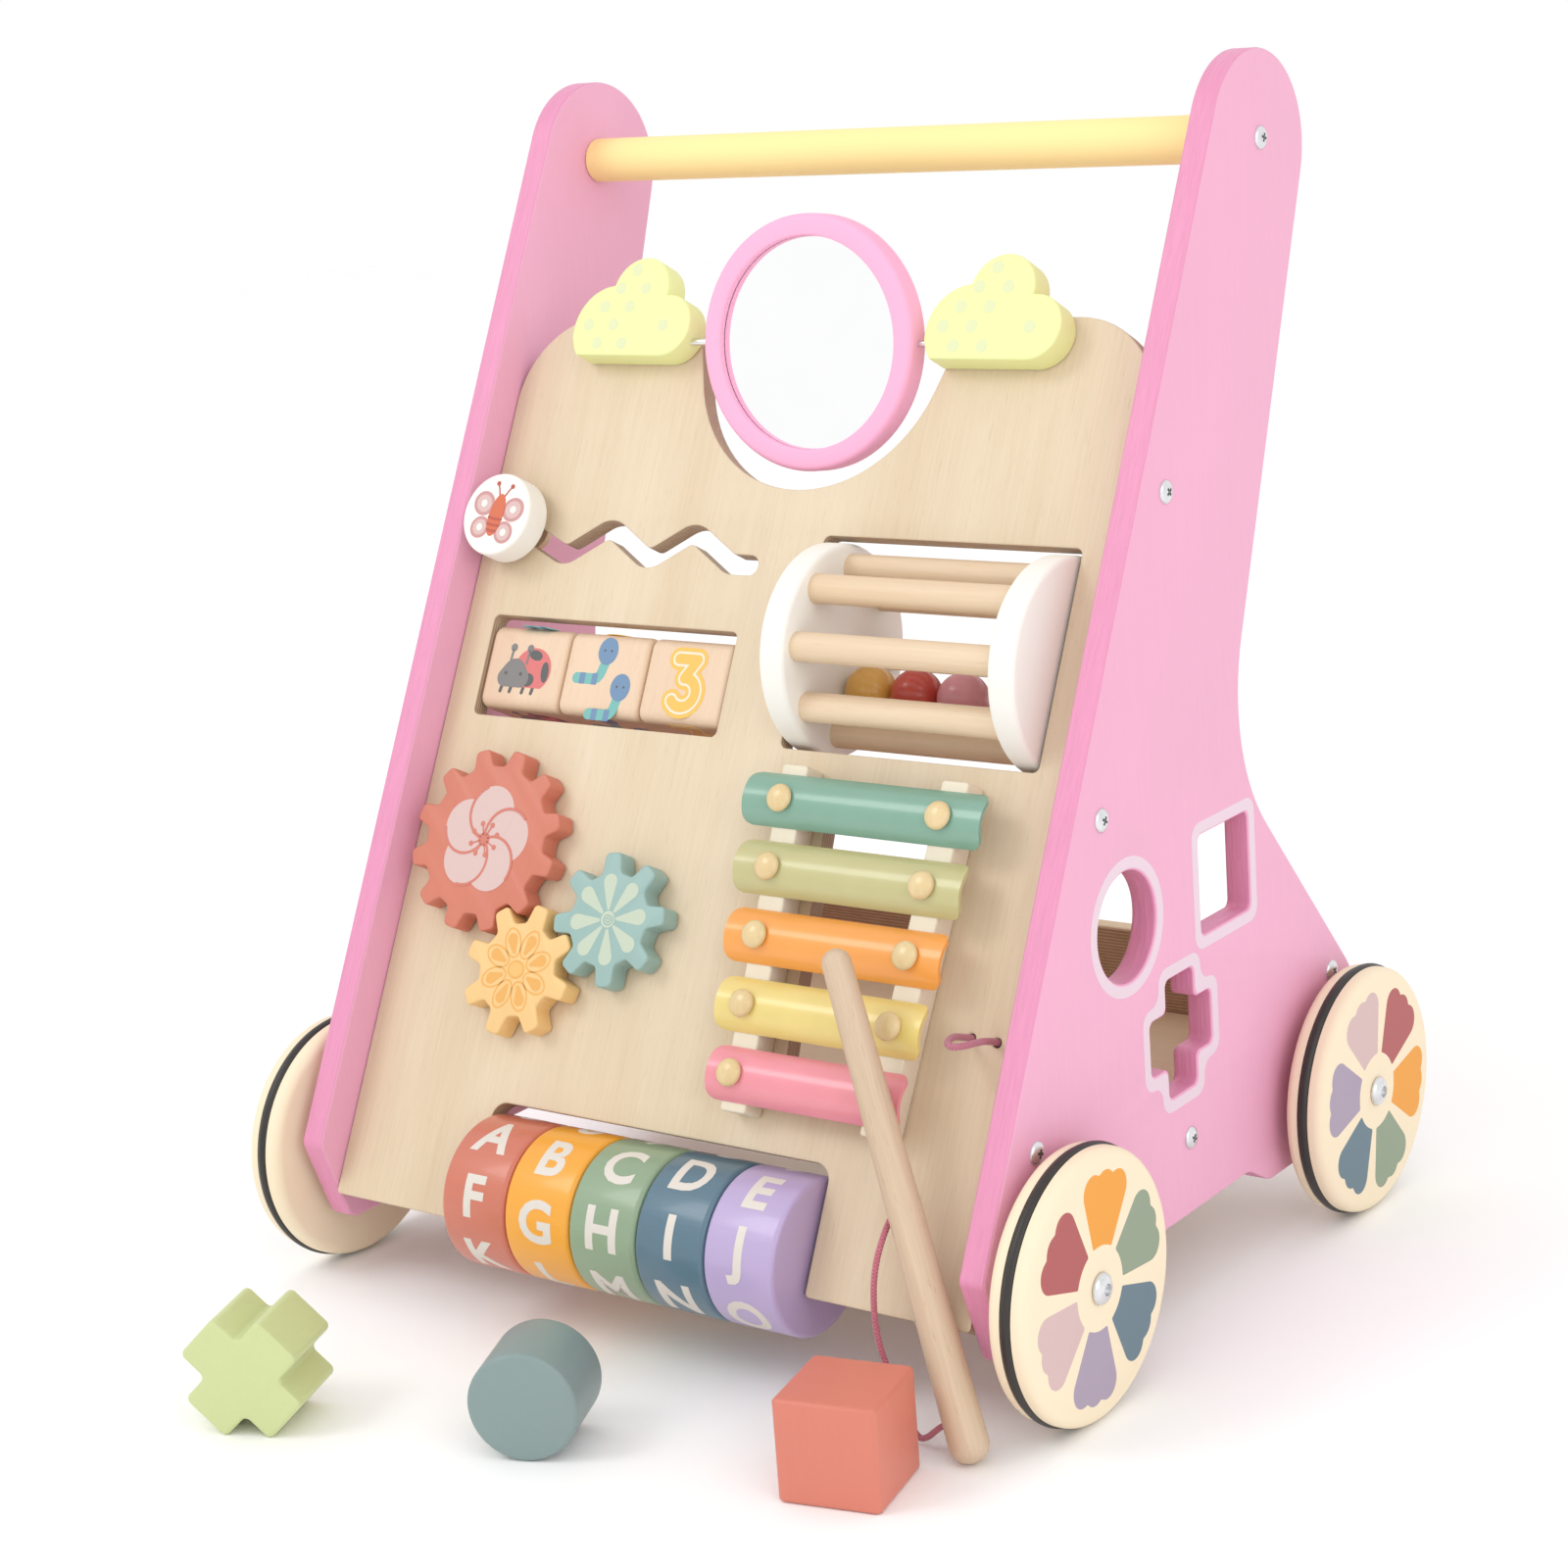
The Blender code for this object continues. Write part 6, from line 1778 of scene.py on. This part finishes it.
@dataclass
class MalletAndCords:
    """The mallet, the cord that ties it to the panel, and the elastic loop that stows it."""

    foot: tuple[float, float, float] = (166.0, -51.6, 7.8)
    tip: tuple[float, float, float] = (96.0, 122.6, 40.6)
    radii: Point = (7.6, 5.7)
    cord_radius: float = 1.2
    loop_radius: float = 1.35
    loop_holes: tuple[Point, Point] = ((134.7, 106.6), (146.0, 106.4))
    route: tuple[tuple[float, float, float], ...] = (
        (123.5, -7.5, 74.1), (123.5, -13.7, 77.3), (123.5, -19.0, 80.0), (123.7, -24.2, 81.6),
        (124.3, -30.2, 81.2), (125.2, -36.2, 78.3), (125.3, -40.7, 73.4), (124.8, -43.8, 67.0),
        (124.4, -45.6, 59.4), (124.4, -46.5, 51.3), (125.0, -47.0, 43.6), (126.5, -47.2, 35.6),
        (129.0, -47.3, 28.0), (131.9, -47.5, 20.4), (135.1, -47.7, 13.2), (138.6, -48.0, 6.8),
        (142.4, -48.4, 3.2), (146.3, -49.0, 4.6), (149.9, -49.5, 7.7), (152.8, -49.8, 10.2),
        (155.2, -50.0, 11.9))

    def cord(self, bench: Bench) -> None:
        """The tie cord, with its length logged, and a knot behind the panel."""
        route = [bench.walker @ p for p in smooth_route(self.route, 1.4)]
        piece = bench.piece("tie_cord", tube(route, self.cord_radius), Finish.CORD, ROOT,
                            Matrix.Identity(4),
                            ["mallet_cord"], "cord")
        length = sum((b - a).length for a, b in zip(route, route[1:])) * MM
        path = [tuple(p * MM) for p in route]
        knot = ball(3.0, 32, 20)
        for point in knot.points:
            swirl = atan2(point.y, point.x) * 3 + point.z * 1.6
            point *= 1.0 + 0.10 * sin(swirl)
        knot_piece = bench.piece("cord_knot", knot, Finish.CORD, ROOT,
                                 at(*(route[0] + Vector((0, 1.2, -0.6)))),
                                 slot="cord")
        tuple(bench.walker @ Vector(self.route[2]) * MM)
        LOG.info("tie cord is %.1f mm long", length / MM)

    def loop(self, bench: Bench) -> None:
        """The elastic loop through two holes, with its ends behind the panel."""
        (left, up), (right, _) = self.loop_holes
        middle, half, back = (left + right) / 2, (right - left) / 2, -12.0
        reach, sag = 20.0, 6.0
        route: list[tuple[float, float, float]] = [(left, up, back), (left, up, -4.0), (left, up, 1.0)]
        for k in range(1, 12):
            angle = pi * k / 12
            out = reach * sin(angle) ** 0.6
            route.append((middle - half * 1.15 * cos(angle), up - sag * (out / reach) ** 2, 1.0 + out))
        route += [(right, up, 1.0), (right, up, -4.0), (right, up, back)]
        bench.piece("stow_loop", tube(smooth_route(route, 1.2), self.loop_radius), Finish.LOOP, ROOT,
                    bench.panel,
                    ["mallet_loop"], "cord")

    def build(self, bench: Bench) -> None:
        """Makes the mallet, and the cords round it."""
        foot, tip = bench.walker @ Vector(self.foot), bench.panel @ Vector(self.tip)
        length = (tip - foot).length
        thick, thin = self.radii
        profile = [(0, -thick)] + [(thick * sin(a),
                                    -thick * cos(a)) for a in (pi / 2 * k / 10 for k in range(1, 10))]
        profile += [(thick + (thin - thick) * k / 12, length * k / 12) for k in range(13)]
        profile += [(thin * cos(a), length + thin * sin(a)) for a in (pi / 2 * k / 8 for k in range(1, 8))]
        aim = (tip - foot).to_track_quat("Z", "Y").to_matrix().to_4x4()
        bench.piece("chime_mallet", turned([*profile, (0, length + thin)], 64), Finish.MALLET,
                    "mallet_body",
                    at(*foot) @ aim, ["mallet"], "beech")
        self.cord(bench)
        self.loop(bench)


@dataclass
class LooseShapes:
    """The square, round and cross shapes that go through the sorter's holes."""

    side: float = 40.0
    radius: float = 21.5
    length: float = 34.0
    cross: Point = (47.8, 21.6)
    square_at: tuple[float, float, float] = (137.0, -86.0, 12.4)
    round_at: tuple[float, float, float] = (13.0, -112.0, 23.0)
    cross_at: tuple[float, float, float] = (-98.0, -146.0, 20.6)

    def build(self, bench: Bench) -> None:
        """Makes the three shapes where they lie."""
        half, edge = self.side / 2, 1.9
        x, y, turn = self.square_at
        cube = plate(box_outline(-half, -half, half, half, 2.6), 0, self.side, edge=edge, steps=5)
        bench.piece("square_block", cube, Finish.SQUARE, "square_shape_body",
                    bench.walker @ at(x, y, 0, Matrix.Rotation(radians(turn), 4, "Z")), ["square_shape"],
                    "square_paint")
        lying = Matrix.Rotation(pi / 2, 4, "X")
        x, y, turn = self.round_at
        bench.piece("round_block", disc(self.radius, -self.length / 2, self.length / 2, edge, 128),
                    Finish.ROUND,
                    "round_shape_body",
                    bench.walker @ at(x, y, self.radius, Matrix.Rotation(radians(turn), 4, "Z") @ lying),
                    ["round_shape"], "round_paint")
        span, arm = self.cross[0] / 2, self.cross[1] / 2
        quarter = ((span, -arm), (span, arm), (arm, arm))
        section = rounded([p for k in range(4) for p in placed(quarter, turn=90.0 * k)], 2.7)
        lowest = -min(px * sin(pi / 4) + py * cos(pi / 4) for px, py in section)
        x, y, turn = self.cross_at
        quarter_turn = Matrix.Rotation(radians(turn), 4, "Z") @ lying @ Matrix.Rotation(pi / 4, 4, "Z")
        bench.piece("cross_block", plate(section, -self.length / 2, self.length / 2, edge=1.5, steps=4),
                    Finish.CROSS,
                    "cross_shape_body", bench.walker @ at(x, y, lowest,
                                                          quarter_turn), ["cross_shape"], "cross_paint")


# ------------------------------------------------------------------------------ studio
@dataclass
class Studio:
    """A pale floor, soft light and the camera."""

    camera_at: tuple[float, float, float] = (761.1, -925.2, 524.7)
    yaw: float = 0.6443
    pitch: float = 0.2472
    roll: float = -0.0743
    lens: float = 72.97
    sensor: float = 36.0
    floor_half: float = 4000.0
    floor_white: float = 0.995
    key: tuple[tuple[float, float, float], float, float] = ((-1.1, -1.4, 1.9), 0.9, 11.0)
    fill: tuple[tuple[float, float, float], float, float] = ((1.8, -1.0, 1.2), 1.6, 9.0)

    def camera(self, walker: Matrix) -> None:
        """Places the camera in the walker's frame."""
        ahead = Vector((-sin(self.yaw) * cos(self.pitch), cos(self.yaw) * cos(self.pitch),
                        -sin(self.pitch)))
        right = ahead.cross(Vector((0, 0, 1))).normalized()
        up = right.cross(ahead)
        c, s = cos(self.roll), sin(self.roll)
        right, up = right * c + up * s, up * c - right * s
        data = bpy.data.cameras.new("camera")
        data.lens, data.sensor_width, data.clip_end = self.lens, self.sensor, 20.0
        thing = bpy.data.objects.new("camera", data)
        bpy.context.collection.objects.link(thing)
        turn = Matrix((right, up, -ahead)).transposed().to_4x4()
        thing.matrix_world = Matrix.Translation(walker @ Vector(self.camera_at) * MM) @ turn
        bpy.context.scene.camera = thing

    def light(self, name: str, spot: tuple[float, float, float], size: float, power: float) -> None:
        """A square soft light that looks at the walker's middle."""
        data = bpy.data.lights.new(name, "AREA")
        data.size, data.energy = size, power
        thing = bpy.data.objects.new(name, data)
        bpy.context.collection.objects.link(thing)
        aim = (Vector((0, 0, 0.2)) - Vector(spot)).to_track_quat("-Z", "Y")
        thing.matrix_world = Matrix.Translation(spot) @ aim.to_matrix().to_4x4()

    def build(self, bench: Bench) -> None:
        """Sets the floor, the lights, the world and the camera."""
        scene = bpy.context.scene
        scene.view_settings.view_transform = "Standard"
        world = bpy.data.worlds.new("studio")
        scene.world = world
        world.use_nodes = True
        background = world.node_tree.nodes["Background"]
        background.inputs["Color"].default_value = (1.0, 1.0, 1.0, 1.0)
        background.inputs["Strength"].default_value = 1.0
        half = self.floor_half
        slab = plate(box_outline(-half, -half, half, half, 50.0), -10.0, -0.1, edge=0.0)
        floor = bpy.data.objects.new("studio_floor", slab.mesh("studio_floor", Matrix.Identity(4), 30.0))
        bpy.context.collection.objects.link(floor)
        shader = Shader("studio_white", 0.75)
        shader.set("Base Color", (*[self.floor_white] * 3, 1.0))
        floor.data.materials.append(shader.material)
        self.light("key_light", *self.key)
        self.light("fill_light", *self.fill)
        self.camera(bench.walker)


def make_bench() -> Bench:
    """The working frames, taken from the front axle and the panel's lean."""
    low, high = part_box("front_right_tyre")
    walker = at(0, (low[1] + high[1]) / 2 / MM, 0)
    lean = Matrix.Rotation(radians(90.0 - SidePanels.lean), 4, "X")
    return Bench(walker, walker @ at(*PANEL_FOOT, lean))


def main() -> None:
    """Builds the camera, the cords and every sub-assembly."""
    logging.basicConfig(level=logging.INFO, format="%(name)s: %(message)s")
    bench = make_bench()
    Studio().build(bench)
    for part in (MalletAndCords(), SidePanels(), Tray(), Wheels(), FrontPanel(), MirrorSet(), SliderKnob(),
                 PictureBlocks(), Drum(), Chimes(), Gears(), Rollers(), LooseShapes()):
        part.build(bench)
        LOG.info("%s done", type(part).__name__)


if __name__ == "__main__":
    main()
